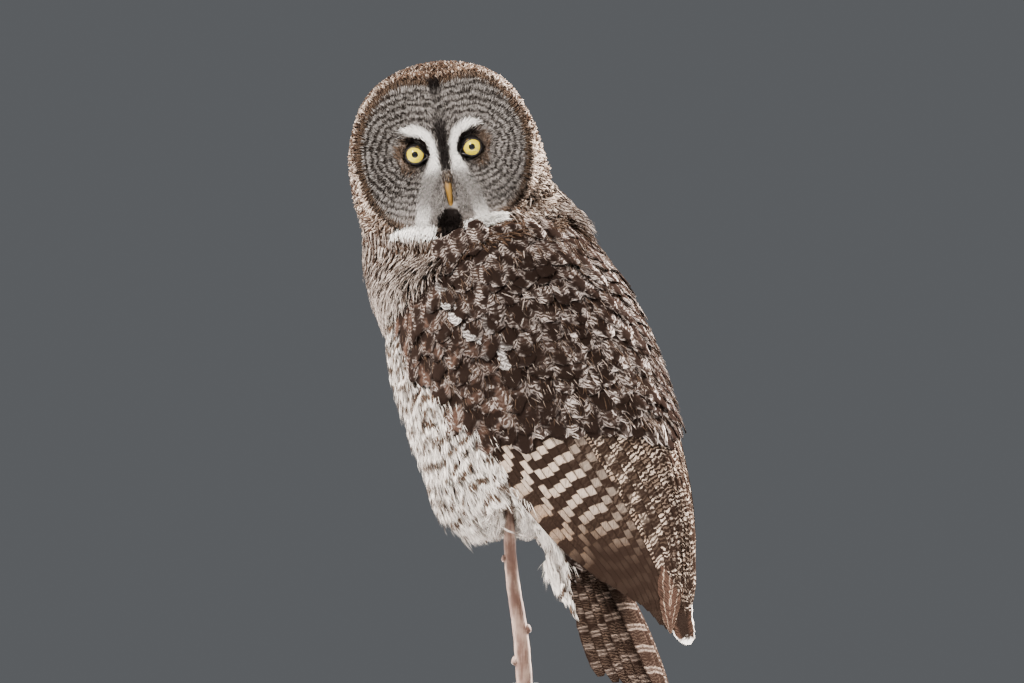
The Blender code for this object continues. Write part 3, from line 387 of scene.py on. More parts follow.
def flesh_copy(name):
    """A merged copy of a solid, cut off where only feathers go on."""
    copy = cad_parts[name].copy()
    copy.data = copy.data.copy()
    copy.name = "flesh_" + name
    bpy.context.scene.collection.objects.link(copy)
    take(copy)
    bpy.ops.object.mode_set(mode="EDIT")
    bpy.ops.mesh.select_all(action="SELECT")
    bpy.ops.mesh.remove_doubles(threshold=0.00001)
    end = {"wing_left": WING_FLESH_END, "wing_right": WING_FLESH_END, "tail": TAIL_FLESH_END}.get(name)
    if end is not None:
        point = from_body(np.array((0, 0, end)))
        bpy.ops.mesh.bisect(plane_co=point, plane_no=BODY[2], clear_inner=True, use_fill=True)
    bpy.ops.object.mode_set(mode="OBJECT")
    return copy


def plug(place, radius):
    """A ball inside the flesh, across the cut between two solids."""
    select_nothing()
    bpy.ops.mesh.primitive_uv_sphere_add(segments=24, ring_count=12, radius=radius, location=place)
    ball = bpy.context.object
    put_at_origin(ball)
    return ball


def use(obj, kind, **settings):
    """Adds a modifier and applies it."""
    modifier = obj.modifiers.new(kind.lower(), kind)
    for key, value in settings.items():
        setattr(modifier, key, value)
    take(obj)
    bpy.ops.object.modifier_apply(modifier=modifier.name)


def points_of(obj):
    points = np.empty(len(obj.data.vertices) * 3)
    obj.data.vertices.foreach_get("co", points)
    return points.reshape(-1, 3)


def weigh(obj, name, shares):
    """A vertex group with these shares, for modifiers to read."""
    group = obj.vertex_groups.new(name=name)
    for i, share in enumerate(shares):
        group.add([i], float(np.clip(share, 0, 1)), "REPLACE")


def make_skin():
    take(*[flesh_copy(name) for name in FLESH], *[plug(place, radius) for place, radius in PLUGS])
    bpy.ops.object.join()
    skin = bpy.context.object
    skin.name = "skin"
    use(skin, "REMESH", mode="VOXEL", voxel_size=SKIN_VOXEL)
    use(skin, "SMOOTH", factor=0.5, iterations=9)
    head = to_head(points_of(skin))
    beside = ease(0.068, 0.076, np.hypot(head[:, 0], head[:, 2]))
    outside = np.maximum(beside, 1 - ease(0.008, 0.020, head[:, 1]))
    weigh(skin, "calm", outside * ease(-0.085, -0.070, head[:, 2]))
    use(skin, "SMOOTH", factor=0.5, iterations=40, vertex_group="calm")
    points = points_of(skin)
    head = to_head(points)
    face = ease(0.020, 0.031, head[:, 1]) * (1 - ease(0.082, 0.094, np.hypot(head[:, 0], head[:, 2])))
    low = to_body(points)
    leg = (1 - ease(0.012, 0.030, np.abs(points[:, 0] + 0.037))) * (1 - ease(0.236, 0.262, points[:, 2]))
    leg *= ease(-0.14, -0.12, low[:, 2])
    crown = ease(0.030, 0.066, head[:, 2]) * (1 - face)
    depth = COAT_DEPTH + (FACE_DEPTH - COAT_DEPTH) * face + (LEG_DEPTH - COAT_DEPTH) * leg
    weigh(skin, "depth", (depth + (CROWN_DEPTH - COAT_DEPTH) * crown) / COAT_DEPTH)
    use(skin, "DISPLACE", strength=-COAT_DEPTH, mid_level=0.0, vertex_group="depth")
    use(skin, "SMOOTH", factor=0.5, iterations=4)
    skin.data.materials.clear()
    skin.data.shade_smooth()
    return skin


skin = make_skin()
print("skin", count_triangles(skin), "triangles")

# %% [markdown]
# ## Laying a coat
# Every feather starts at a root on the skin. Roots are drawn evenly over it by area and thinned on a grid
# of small cells, so that none sits on another. Each then needs the skin's own outward direction and the
# lie, the way the coat is combed: down the body, back over the crown and outwards from each eye.

# %% Roots on the skin
def triangles_of(obj):
    mesh = obj.data
    mesh.calc_loop_triangles()
    corners = np.empty(len(mesh.loop_triangles) * 3, np.int32)
    mesh.loop_triangles.foreach_get("vertices", corners)
    normals = np.empty(len(mesh.vertices) * 3)
    mesh.vertices.foreach_get("normal", normals)
    return points_of(obj), normals.reshape(-1, 3), corners.reshape(-1, 3)


SKIN_POINTS, SKIN_NORMALS, SKIN_CORNERS = triangles_of(skin)


def roots_where(region, spacing, seed):
    """Roots at about this spacing wherever region(points) says yes, and the skin's normals there."""
    draw = np.random.default_rng(seed)
    a, b, c = (SKIN_POINTS[SKIN_CORNERS[:, k]] for k in range(3))
    wanted = region((a + b + c) / 3)
    chosen = SKIN_CORNERS[wanted]
    area = 0.5 * np.linalg.norm(np.cross(b - a, c - a), axis=1)[wanted]
    count = int(3 * area.sum() / spacing**2)
    pick = draw.choice(len(chosen), count, p=area / area.sum())
    u, v = draw.random(count), draw.random(count)
    u, v = np.where(u + v > 1, 1 - u, u), np.where(u + v > 1, 1 - v, v)
    share = np.stack((1 - u - v, u, v), 1)[:, :, None]
    points = (SKIN_POINTS[chosen[pick]] * share).sum(1)
    normals = unit((SKIN_NORMALS[chosen[pick]] * share).sum(1))
    _, first = np.unique(np.floor(points / spacing).astype(int), axis=0, return_index=True)
    return points[first], normals[first]


def laid(direction, normals):
    """A direction pressed flat onto the skin."""
    return unit(direction - normals * (direction * normals).sum(-1, keepdims=True))


def turned(direction, normals, angle):
    """A direction on the skin turned about the outward one."""
    side = np.cross(normals, direction)
    return direction * np.cos(angle)[:, None] + side * np.sin(angle)[:, None]


def combed(way, normals, spread, draw):
    """The lie of a coat: a way pressed onto the skin, turned a little at random for each feather."""
    flat = laid(way, normals)
    return laid(turned(flat, normals, draw.normal(0, spread, len(normals))), normals)


# %% [markdown]
# ## Two kinds of feather
# A **tuft** is a thin tapered lock with three edges, good for the short hair-like feathers of the face and
# for loose down. A **vane** is a real contour or flight feather: a thin curved blade with a raised shaft
# and slightly ragged edges. Both are closed bodies. Thousands of them are made at once, as one array that
# holds every feather's points, because a modifier for each would take hours. A Coat gathers them into one
# mesh, with a map of each feather for its pattern and a second one that tells where on the skin it grows.

# %% Coat
class Coat:
    """Many feathers in one mesh."""

    def __init__(self, name):
        self.name, self.points, self.quads, self.corners = name, [], [], []
        self.feather, self.bake, self.facts, self.count = [], [], {}, 0

    def take_in(self, points, quads, corners, feather, patch, at, size, facts):
        """Adds n like feathers: points (n, k, 3), faces and map of one, and facts (n,) or (n, k)."""
        n, k = points.shape[:2]
        start = self.count + np.arange(n)[:, None, None] * k
        self.points.append(points.reshape(-1, 3))
        self.quads.append((start + quads).reshape(-1, 4))
        self.corners.append((start + corners).reshape(-1, 3))
        self.feather.append(np.broadcast_to(feather, (n, k, 2)).reshape(-1, 2))
        self.bake.append((at[:, None, :] + (patch - 0.5) * np.asarray(size)).reshape(-1, 2))
        for name, values in facts.items():
            values = np.asarray(values, float)
            values = values[:, None] if values.ndim == 1 else values
            self.facts.setdefault(name, []).append(np.broadcast_to(values, (n, k)).reshape(-1))
        self.count += n * k

    def done(self, finish, slot, *nodes):
        """Makes the mesh and its maps, and sets it on the body."""
        points = np.concatenate(self.points)
        faces = [np.concatenate(self.quads), np.concatenate(self.corners)]
        mesh = bpy.data.meshes.new(self.name)
        mesh.vertices.add(len(points))
        mesh.vertices.foreach_set("co", points.ravel())
        loops = np.concatenate([face.ravel() for face in faces])
        sizes = np.concatenate([np.full(len(face), face.shape[1]) for face in faces])
        mesh.loops.add(len(loops))
        mesh.loops.foreach_set("vertex_index", loops)
        mesh.polygons.add(len(sizes))
        mesh.polygons.foreach_set("loop_start", np.concatenate(([0], np.cumsum(sizes)[:-1])))
        mesh.update(calc_edges=True)
        for name, values in (("Feather", self.feather), ("OFBake", self.bake)):
            layer = mesh.uv_layers.new(name=name)
            layer.data.foreach_set("uv", np.concatenate(values)[loops].ravel())
        for name, values in self.facts.items():
            layer = mesh.attributes.new(name, "FLOAT", "POINT")
            layer.data.foreach_set("value", np.concatenate(values))
        mesh.shade_smooth()
        piece = bpy.data.objects.new(self.name, mesh)
        bpy.context.scene.collection.objects.link(piece)
        piece.data.materials.append(finish.material)
        wear(piece, slot, *nodes)


# %% Tufts
TUFT_AT = np.array((0.0, 0.38, 0.74))  # its rings by length, before the tip
TUFT_WIDTH = np.array((0.55, 1.0, 0.72))
TUFT_MAP = np.array([(x, t) for t in TUFT_AT for x in (0.0, 0.5, 1.0)] + [(0.5, 1.0)])
TUFT_ALONG = TUFT_MAP[:, 1][None, :]
ROOT_DEPTH, BAKE_PATCH = 0.0009, 0.003


def tuft_faces():
    """Three sides from ring to ring, a cap at the root and three corners to the tip."""
    quads = []
    for ring in range(len(TUFT_AT) - 1):
        for k in range(3):
            a, b = ring * 3 + k, ring * 3 + (k + 1) % 3
            quads.append((a, a + 3, b + 3, b))
    last = (len(TUFT_AT) - 1) * 3
    corners = [(0, 1, 2)] + [(last + k, last + 3, last + (k + 1) % 3) for k in range(3)]
    return np.array(quads), np.array(corners)


TUFT_QUADS, TUFT_CORNERS = tuft_faces()


def add_tufts(coat, roots, normals, lie, length, half, rise, curl, at, facts):
    """Tufts along the lie, their tips standing out by rise and bent back down by curl."""
    side = np.cross(lie, normals)
    rings = []
    for t, wide in zip(TUFT_AT, TUFT_WIDTH):
        lift = rise * t**0.75 - curl * t**2.2 - ROOT_DEPTH * (1 - t)
        middle = roots + lie * (length * t)[:, None] + normals * lift[:, None]
        thick = half * 0.55 * (1 - 0.5 * t)
        rings += [
            middle - side * (half * wide)[:, None], middle + normals * thick[:, None],
            middle + side * (half * wide)[:, None],
        ]
    rings.append(roots + lie * length[:, None] + normals * (rise - curl)[:, None])
    points = np.stack(rings, 1)
    coat.take_in(points, TUFT_QUADS, TUFT_CORNERS, TUFT_MAP, TUFT_MAP, at, (BAKE_PATCH, BAKE_PATCH), facts)


def lay_coat(name, finish, slot, nodes, tufts, facts, part=slice(None)):
    """A coat of tufts alone. tufts holds all that add_tufts asks of them; part chooses some of them."""
    coat = Coat(name)
    add_tufts(coat, *[values[part] for values in tufts], {key: values[part] for key, values in facts.items()})
    coat.done(finish, slot, *nodes)


def tuft_facts(n, **facts):
    """What a plumage finish reads of n tufts; whatever isn't given is 0."""
    return {**{name: np.zeros(n) for name in ("white", "black", "reach", "ringed")}, **facts}


# %% Vanes
def vane_faces(rows, columns):
    """Faces of a closed blade: a grid above, the same grid below, and a rim."""
    quads = []
    under = rows * columns
    for i in range(rows - 1):
        for j in range(columns - 1):
            a = i * columns + j
            quads.append((a, a + columns, a + columns + 1, a + 1))
            quads.append((a + under, a + under + 1, a + under + columns + 1, a + under + columns))
    rim = [(0, j) for j in range(columns)] + [(i, columns - 1) for i in range(1, rows)]
    rim += [(rows - 1, j) for j in range(columns - 2, -1, -1)] + [(i, 0) for i in range(rows - 2, 0, -1)]
    loop = [i * columns + j for i, j in rim]
    for a, b in zip(loop, loop[1:] + loop[:1]):
        quads.append((a, b, b + under, a + under))
    return np.array(quads)


def add_vanes(
    coat, line, normals, half, shape, at, facts, seed, columns, camber, ragged,
    thick=0.0006, tilt=0.0, size=(BAKE_PATCH, BAKE_PATCH), skew=0.0,
):
    """Blades along lines of points (n, rows, 3), as wide as half times the shape's stations."""
    draw = np.random.default_rng(seed)
    n, rows = line.shape[:2]
    t = np.linspace(0, 1, rows)
    along = unit(np.gradient(line, axis=1))
    up = unit(normals - along * (normals * along).sum(-1, keepdims=True))
    side = np.cross(along, up)
    across = np.linspace(-1, 1, columns)
    wide = np.asarray(half)[:, None] * curve(shape, t)[None, :]
    edge = 1 + ragged * draw.uniform(-1, 1, (n, rows, columns)) * (np.abs(across) > 0.9)
    x = wide[:, :, None] * across * edge
    lean = draw.uniform(-1, 1, (n, 1, 1))
    lift = np.asarray(tilt)[..., None, None] * x - camber * x**2 / np.asarray(half)[:, None, None]
    slip = ragged * 1.6 * draw.uniform(-1, 1, (n, rows, columns)) * wide[:, :, None] * (t[:, None] > 0.8)
    body = thick * (1 - 0.5 * t)[None, :, None] * (1 - 0.7 * across**2)
    above = line[:, :, None] + side[:, :, None] * (x + skew * lean * wide[:, :, None])[..., None]
    above = above + up[:, :, None] * lift[..., None] + along[:, :, None] * slip[..., None]
    below = above - up[:, :, None] * (body + 0.00012)[..., None]
    points = np.concatenate((above.reshape(n, -1, 3), below.reshape(n, -1, 3)), 1)
    grid = np.stack(np.meshgrid((across + 1) / 2, t), -1).reshape(-1, 2)
    both = np.concatenate((grid, grid))
    coat.take_in(points, vane_faces(rows, columns), np.empty((0, 3), int), both, both, at, size, facts)


print("tuft", 2 * len(TUFT_QUADS) + len(TUFT_CORNERS), "triangles; vane", 2 * len(vane_faces(8, 5)))

# %% [markdown]
# ## Unwrapping the skin
# Every piece is also mapped onto a flat sheet. A tuft needs only a speck of it, at the place where it
# grows: the body is unrolled like a tube round its long axis, and the head like a globe seen from its
# middle, with the face at the centre of the sheet.

# %% Places on the flat sheet
def strips(first, count, cells):
    """Middles of upright strips of the sheet, one for each long feather."""
    return np.stack(((first + np.arange(count) + 0.5) / cells, np.full(count, 0.5)), 1)


def body_sheet(points):
    local = to_body(points)
    turn = np.arctan2(local[:, 0], local[:, 1]) / (2 * np.pi) + 0.5
    return np.stack((0.02 + 0.96 * turn, 0.02 + 0.96 * np.clip((local[:, 2] + 0.33) / 0.60, 0, 1)), 1)


def head_sheet(points):
    local = to_head(points)
    turn = np.arctan2(local[:, 0], local[:, 1]) / (2 * np.pi) + 0.5
    rise = np.arctan2(local[:, 2], np.hypot(local[:, 0], local[:, 1])) / np.pi + 0.5
    return np.stack((0.02 + 0.96 * turn, 0.02 + 0.96 * rise), 1)


# %% [markdown]
# ## Markings of the face
# The facial disc is a set of grey and dark rings round each eye, inside a thin dark rim. Between the eyes
# stand two white crescents, which run down beside the bill to a black chin between two white bars. The
# marks are written once as masks over the face, in metres to the side and up, and both the skin and the
# tufts are painted from them, so that a parted tuft never shows a different colour below.

# %% Masks of the face
EYE_X, EYE_Z, EYE_Y, EYE_RADIUS = 0.0274, 0.0005, 0.0335, 0.0112
# The white crescent beside the middle of the face: (side, up, half width) in mm
CRESCENT = np.array((
    (33.0, 23.5, 1.8), (28.0, 22.8, 3.9), (22.6, 20.3, 5.4), (15.0, 13.0, 6.2), (10.6, 3.0, 4.9),
    (9.8, -8.0, 5.0), (13.2, -20.0, 6.4), (18.6, -30.0, 6.6), (23.0, -40.0, 5.8), (25.7, -53.5, 6.2),
    (27.0, -62.6, 6.4),
)) * MM


def disc_radius(x, z):
    """The facial disc's rim, in the direction of x, z from the middle of the face."""
    turn = np.degrees(np.arctan2(z, x)) % 360
    low = 0.081 + 0.003 * ease(0, 1, -np.sin(np.radians(turn)))
    return low - 0.017 * np.exp(-(((turn - 90) / 22) ** 2)) - 0.014 * np.exp(-(((turn - 270) / 24) ** 2))


def face_reach(head):
    """How far out points of the head's frame lie: 0 in the middle of the face and 1 at the disc's rim."""
    return np.hypot(head[:, 0], head[:, 2]) / disc_radius(head[:, 0], head[:, 2])


def from_eyes(head):
    """How far points of the head's frame lie from the nearer line of sight."""
    return np.hypot(np.abs(head[:, 0]) - EYE_X, head[:, 2] - EYE_Z)


def along_line(points, line):
    """For points (n, 2): distance to a line of stations less its half width there, and its direction."""
    best, way = np.full(len(points), 9.0), np.zeros((len(points), 2))
    for a, b in zip(line[:-1], line[1:]):
        span = b[:2] - a[:2]
        t = np.clip(((points - a[:2]) @ span) / (span @ span), 0, 1)
        gap = np.linalg.norm(points - (a[:2] + t[:, None] * span), axis=1) - (a[2] + (b[2] - a[2]) * t)
        nearer = gap < best
        best[nearer] = gap[nearer]
        way[nearer] = span / np.linalg.norm(span)
    return best, way


def bow_share(x, z):
    """1 inside the two white bars that flank the chin."""
    side = np.abs(x)
    first, last = np.where(x > 0, 0.0150, 0.0100), np.where(x > 0, 0.062, 0.051)
    middle = -0.0740 + 0.14 * (side - 0.016)
    half = 0.0062 - 0.0038 * ease(0.026, 0.058, side)
    return ease(first - 0.001, first + 0.001, side) * (1 - ease(last - 0.004, last, side)) * (
        1 - ease(half - 0.0008, half + 0.0012, np.abs(z - middle))
    )


def white_mask(side, z):
    """The crescents, which fade to grey beside the bill."""
    gap, _ = along_line(np.stack((side, z), 1), CRESCENT)
    white = 1 - ease(-0.0018, 0.0022, gap)
    return white * (1 - 0.90 * ease(-0.008, -0.024, z) * (1 - 0.60 * ease(-0.042, -0.060, z)))


def black_mask(x, side, z, from_eye, inward):
    """The rings round the eyes, the arcs over them, the inner corners, the chin and the middle stripe."""
    black = 1 - ease(0.0089, 0.0097, from_eye)
    arc = 1 - ease(0.0013, 0.0028, np.abs(from_eye - 0.0132 - 0.0014 * np.sin(np.radians(inward))))
    arc *= ease(-75, -50, inward) * (1 - ease(115, 145, inward))
    inner = (1 - ease(0.0126, 0.0146, from_eye)) * (1 - ease(35, 75, np.abs(inward - 5)))
    chin = 1 - ease(0.82, 1.12, np.hypot((x - 0.0028) / 0.0122, (z + 0.0645) / 0.0118))
    stripe = (1 - ease(0.0022, 0.0050, side - 0.0016 * ease(0.0, 0.05, z))) * ease(-0.024, -0.014, z)
    stripe *= 0.95 - 0.75 * ease(0.018, 0.036, z) + 0.80 * ease(0.046, 0.060, z)
    for mark in (arc, inner, chin, stripe):
        black = np.maximum(black, mark)
    return black, chin


def face_masks(points):
    """White, black, buff, the grey lore beside the bill and the distance from the eye, at points."""
    head = to_head(points)
    x, _, z = head.T
    side, from_eye = np.abs(x), from_eyes(head)
    inward = np.degrees(np.arctan2(z - EYE_Z, EYE_X - side))  # 0 towards the bill, 90 up
    black, chin = black_mask(x, side, z, from_eye, inward)
    buff = (1 - ease(0.0155, 0.0180, from_eye)) * ease(0.0095, 0.0110, from_eye)
    buff *= ease(70, 110, np.abs(inward))
    black = np.maximum(black, 0.42 * buff)
    outer = np.interp(z, (-0.0626, -0.040, -0.020, -0.008), (0.027, 0.023, 0.0132, 0.0098))
    lore = (1 - ease(0.0, 0.006, side - outer)) * ease(-0.008, -0.018, z) * ease(-0.066, -0.060, z)
    bow = bow_share(x, z)
    return np.maximum(white_mask(side, z), bow), black * (1 - bow), buff * 0.6, lore * (1 - chin), from_eye


print("disc", round(2 * float(disc_radius(1.0, 0.0)), 3), "m wide")

# %% [markdown]
# ## The plumage finish
# One recipe paints most of the coat. Each feather carries a few numbers: how pale it is, how buff, how
# black, and a random tone. The recipe mixes five colours by them, then breaks the mixture up along each
# feather with fine streaks, because a soft feather is a row of separate barbs that catch the light. Rings
# and bars are a sine of one more number, the reach, whose phase wavers slowly and quickly.

# %% Plumage
RING_PITCH = 6.4 * MM
WHITE, BLACK, BUFF = (0.92, 0.89, 0.85), (0.007, 0.0055, 0.005), (0.24, 0.15, 0.095)


def plumage(name, dark, pale, streak, waver=None, fleck_share=None):
    finish = Finish(name, 0.92, specular_ior_level=0.0)
    across, along = finish.uv()
    tone, paleness = finish.attribute("tone"), finish.attribute("pale")
    barb = finish.noise(finish.vector(across * 7.0 + tone * 91.0, along * 1.6, tone * 37.0), 1.0, 3)
    fleck = finish.noise(finish.place(), 420.0, 2)
    share = paleness + (barb - 0.5) * streak + (fleck - 0.5) * (fleck_share or streak) + (tone - 0.5) * 0.22
    if waver:
        slow, quick = finish.noise(finish.place(), 50.0, 2), finish.noise(finish.place(), 190.0, 1)
        phase = finish.attribute("reach") * (2 * math.pi / RING_PITCH) + slow * waver[0] + quick * waver[1]
        share = share + (phase + tone * 0.9).sine() * finish.attribute("ringed")
    colour = finish.mix(paint(*dark), paint(*pale), share.eased(0.0, 1.0))
    colour = finish.mix(colour, paint(*BUFF), finish.attribute("buff") * (barb * 0.7 + 0.4))
    colour = finish.mix(colour, paint(*WHITE), finish.attribute("white"))
    colour = finish.mix(colour, paint(*BLACK), finish.attribute("black"))
    finish.feed("Base Color", colour)
    finish.bump(barb, 0.0004, 0.5)
    return finish


face_finish = plumage("face_plumage", (0.013, 0.010, 0.008), (0.270, 0.247, 0.232), 0.80, (8.5, 7.0))
crown_finish = plumage("crown_plumage", (0.014, 0.008, 0.006), (0.40, 0.325, 0.275), 0.90)
neck_finish = plumage("neck_plumage", (0.013, 0.008, 0.006), (0.42, 0.355, 0.315), 0.95)
belly_finish = plumage("belly_plumage", (0.045, 0.029, 0.021), (0.82, 0.755, 0.695), 0.70, (7.0, 1.0), 0.16)
skin_finish = plumage("skin_down", (0.020, 0.014, 0.011), (0.34, 0.31, 0.29), 0.5, (5.5, 5.5))

# %% [markdown]
# ## Painting the skin
# The skin shows only between feathers, but it does show, so it wears the same colours, a little darker.

# %% Skin colours
def around(points):
    """Where points in the world lie on the body: degrees away from the breastbone, and how far along."""
    x, y, z = to_body(points).T
    return np.degrees(np.abs(np.arctan2(x, y))), z


def give(obj, facts):
    for name, values in facts.items():
        layer = obj.data.attributes.new(name, "FLOAT", "POINT")
        layer.data.foreach_set("value", np.asarray(values, float))


def belly_share(turn, z):
    """1 on the pale belly, 0 on back and neck."""
    return (1 - ease(-8, 10, turn - curve(WING_EDGE, z))) * (1 - ease(0.115, 0.150, z))


def dress_skin():
    points = points_of(skin)
    head = to_head(points)
    face = ease(0.012, 0.022, head[:, 1]) * (1 - ease(0.98, 1.02, face_reach(head)))
    white, black, buff, lore, from_eye = face_masks(points)
    eye = 1 - ease(0.0100, 0.0115, from_eye)
    give(skin, {
        "tone": np.full(len(points), 0.5),
        "pale": 0.20 + 0.15 * face + 0.45 * belly_share(*around(points)) + 0.3 * lore * face,
        "reach": from_eye, "ringed": 0.24 * face * (1 - lore), "white": white * face * 0.9,
        "black": np.maximum(black, eye) * face, "buff": buff * face,
    })
    skin.data.materials.append(skin_finish.material)
    wear(skin, "body_plumage", "head", "neck", "torso", "leg_left", "leg_right")


dress_skin()

# %% [markdown]
# ## Eyes
# A great grey owl's eyes are small for its face: lemon yellow irises 16 mm across round a small pupil, set
# in black lids. Each eye is a ball whose front bulges into a cornea. The sphere's poles lie along the line
# of sight, so that its rings become the rings of the iris, and a wet coat gives it the lamps' reflections.

# %% Eyes
IRIS_RADIUS, PUPIL_RADIUS, CORNEA_BULGE = 0.0081, 0.0031, 0.0007
BEHIND = 0.02  # the reach that is given to the ball's back, past any ring of the iris


def eye_frame(side):
    """The matrix that sets a form with its pole along +Z into the head, looking out of the face."""
    turn = np.array((-HEAD[0], HEAD[2], HEAD[1]))
    centre = from_head(np.array((side * EYE_X, EYE_Y, EYE_Z)))
    return Matrix.Translation(centre) @ Matrix([list(row) for row in turn.T]).to_4x4()


def make_eye(side, name):
    select_nothing()
    bpy.ops.mesh.primitive_uv_sphere_add(segments=48, ring_count=40, radius=EYE_RADIUS)
    ball = bpy.context.object
    ball.name = name + "_ball"
    reach = [math.hypot(vert.co.x, vert.co.y) if vert.co.z > 0 else BEHIND for vert in ball.data.vertices]
    for vert, r in zip(ball.data.vertices, reach):
        if r < IRIS_RADIUS:
            vert.co.z += CORNEA_BULGE * (1 - (r / IRIS_RADIUS) ** 2) ** 2
    give(ball, {"reach": reach})
    ball.data.transform(eye_frame(side))
    ball.data.shade_smooth()
    return ball


def iris_finish():
    """Rings of colour by distance from the line of sight, with fine spokes."""
    finish = Finish("eye_yellow", 0.5, specular_ior_level=0.1, coat_weight=0.45, coat_roughness=0.0)
    reach = finish.attribute("reach")
    spokes = finish.noise(finish.place(), 900.0, 3)
    yellow = finish.mix(paint(0.40, 0.30, 0.003), paint(0.56, 0.46, 0.010), spokes)
    yellow = finish.mix(yellow, paint(0.30, 0.19, 0.012), (reach + spokes * 0.0008).eased(0.0074, 0.0088))
    past_pupil = reach.eased(PUPIL_RADIUS - 0.0002, PUPIL_RADIUS + 0.0003)
    ring = finish.mix(paint(0.003, 0.003, 0.003), yellow, past_pupil)
    finish.feed("Base Color", finish.mix(ring, paint(0.006, 0.005, 0.005), reach.eased(0.0080, 0.0084)))
    return finish


iris = iris_finish()
for side, name in ((-1, "eye_left"), (1, "eye_right")):
    ball = make_eye(side, name)
    ball.data.materials.append(iris.material)
    wear(ball, "eye", name)

# %% [markdown]
# ## Eyelids
# The lids are bare black skin, drawn to a point at the inner corner. A thin torus laid round the eye gives
# the fold. Its inner corner is pulled towards the bill, and the upper lid slopes down to it like a frown.

# %% Lids
LID_RADIUS, LID_THICK, CORNER_PULL = 0.0086, 0.00095, 0.0034


def make_lids(side):
    select_nothing()
    bpy.ops.mesh.primitive_torus_add(
        major_segments=56, minor_segments=14, major_radius=LID_RADIUS, minor_radius=LID_THICK,
    )
    lid = bpy.context.object
    lid.name = "lids_" + ("left" if side < 0 else "right")
    for vert in lid.data.vertices:
        inwards = vert.co.x * side
        turn = math.atan2(vert.co.y, inwards)
        corner = math.exp(-(((turn + 0.30) / 0.38) ** 2))
        vert.co.x += side * CORNER_PULL * corner
        vert.co.y = vert.co.y * (1 - 0.10 * corner) - 0.0012 * corner
        if vert.co.y > 0:
            vert.co.y = vert.co.y * 0.88 - 0.0014 * inwards / 0.009
        ball = math.sqrt(max(EYE_RADIUS**2 - vert.co.x**2 - vert.co.y**2, 0.0062**2))
        vert.co.z = ball + vert.co.z * 0.9 - 0.0012 * corner
    lid.data.transform(eye_frame(side))
    lid.data.shade_smooth()
    return lid


lid_skin = Finish("lid_skin", 0.45, specular_ior_level=0.4)
crease = lid_skin.noise(lid_skin.place(), 900.0, 3)
lid_skin.feed("Base Color", lid_skin.mix(paint(0.006, 0.005, 0.005), paint(0.018, 0.014, 0.013), crease))
lid_skin.bump(crease, 0.0002, 0.5)
for side in (-1, 1):
    lids = make_lids(side)
    lids.data.materials.append(lid_skin.material)
    wear(lids, "face_plumage", "head")

# %% [markdown]
# ## Growing a round form along a line
# A bill, a claw, a toe and a stem are all a ring pulled along a curve. By hand one would add a circle,
# extrude it, move and scale each new ring, and go on to the tip. The function below does just that: it
# extrudes in edit mode and lays each new ring square to the line.

# %% Grow
def ring_order(verts):
    """The selected ring's points in their order round it, from the one with the lowest number."""
    chosen, order = set(verts), [verts[0]]
    while len(order) < len(verts):
        ahead_of = [e.other_vert(order[-1]) for e in order[-1].link_edges]
        following = [v for v in ahead_of if v in chosen and v not in order]
        if not following:
            break
        order.append(min(following, key=lambda v: v.index) if len(order) == 1 else following[0])
    return order


def grow(name, line, radii, sides, finish):
    """A closed form through rings of these radii along a line."""
    line = np.asarray(line, float)
    along = unit(np.gradient(line, axis=0))
    across = unit(np.cross(along[0], (0.31, 0.77, 0.55)))
    select_nothing()
    bpy.ops.mesh.primitive_circle_add(vertices=sides, radius=1, fill_type="NGON")
    obj = bpy.context.object
    obj.name = name
    bpy.ops.object.mode_set(mode="EDIT")
    bpy.ops.mesh.select_all(action="SELECT")
    turns = 2 * np.pi * np.arange(sides) / sides
    for i, (point, radius) in enumerate(zip(line, radii)):
        if i:
            bpy.ops.mesh.extrude_region_move()
        across = unit(across - along[i] * (across @ along[i]))
        other = np.cross(along[i], across)
        ring = point + radius * (np.cos(turns)[:, None] * across + np.sin(turns)[:, None] * other)
        work = bmesh.from_edit_mesh(obj.data)
        chosen = sorted((v for v in work.verts if v.select), key=lambda v: v.index)
        for vert, place in zip(ring_order(chosen), ring):
            vert.co = place
        bmesh.update_edit_mesh(obj.data)
    bpy.ops.mesh.select_all(action="SELECT")
    bpy.ops.mesh.normals_make_consistent(inside=False)
    bpy.ops.object.mode_set(mode="OBJECT")
    obj.data.shade_smooth()
    obj.data.materials.append(finish.material)
    return obj


# %% [markdown]
# ## Bill
# Only the ridge and hooked tip of the bill show; the rest is buried in bristles. It is yellow-brown horn,
# duller at the root and satin rather than glossy, with painted shade darkening its flanks.

# %% Bill
BILL_RADIUS = 4.3 * MM
JAW_ROOT, JAW_REACH = np.array((0, 0.040, -0.041)), np.array((0, 0.0075, -0.0095))
JAW_RADII = ((0, 0.0042), (0.35, 0.0038), (0.7, 0.0027), (1, 0.0008))


def horn_finish():
    finish = Finish("bill_horn", 0.55, specular_ior_level=0.25)

    def along(axis):
        """How far a place lies along an axis of the head, from the head's centre."""
        sockets = {0: finish.place(), 1: tuple(axis)}
        far = finish.node("ShaderNodeVectorMath", {"operation": "DOT_PRODUCT"}, sockets, "Value")
        return far - float(HEAD_CENTRE @ axis)

    height, flank = along(HEAD[2]), along(HEAD[0]).size().eased(0.0010, 0.0034)
    grain = finish.noise(finish.place(), 260.0, 3)
    horn = finish.mix(paint(0.125, 0.060, 0.0045), paint(0.19, 0.100, 0.010), grain)
    # Painted shade: the bill's flanks are darkened towards its sides.
    horn = finish.mix(horn, paint(0.050, 0.030, 0.010), flank * 0.9)
    horn = finish.mix(horn, paint(0.10, 0.068, 0.036), height.eased(-0.036, -0.024))
    finish.feed("Base Color", finish.mix(paint(0.20, 0.11, 0.022), horn, height.eased(-0.0575, -0.048)))
    finish.bump(grain, 0.0002, 0.3)
    return finish


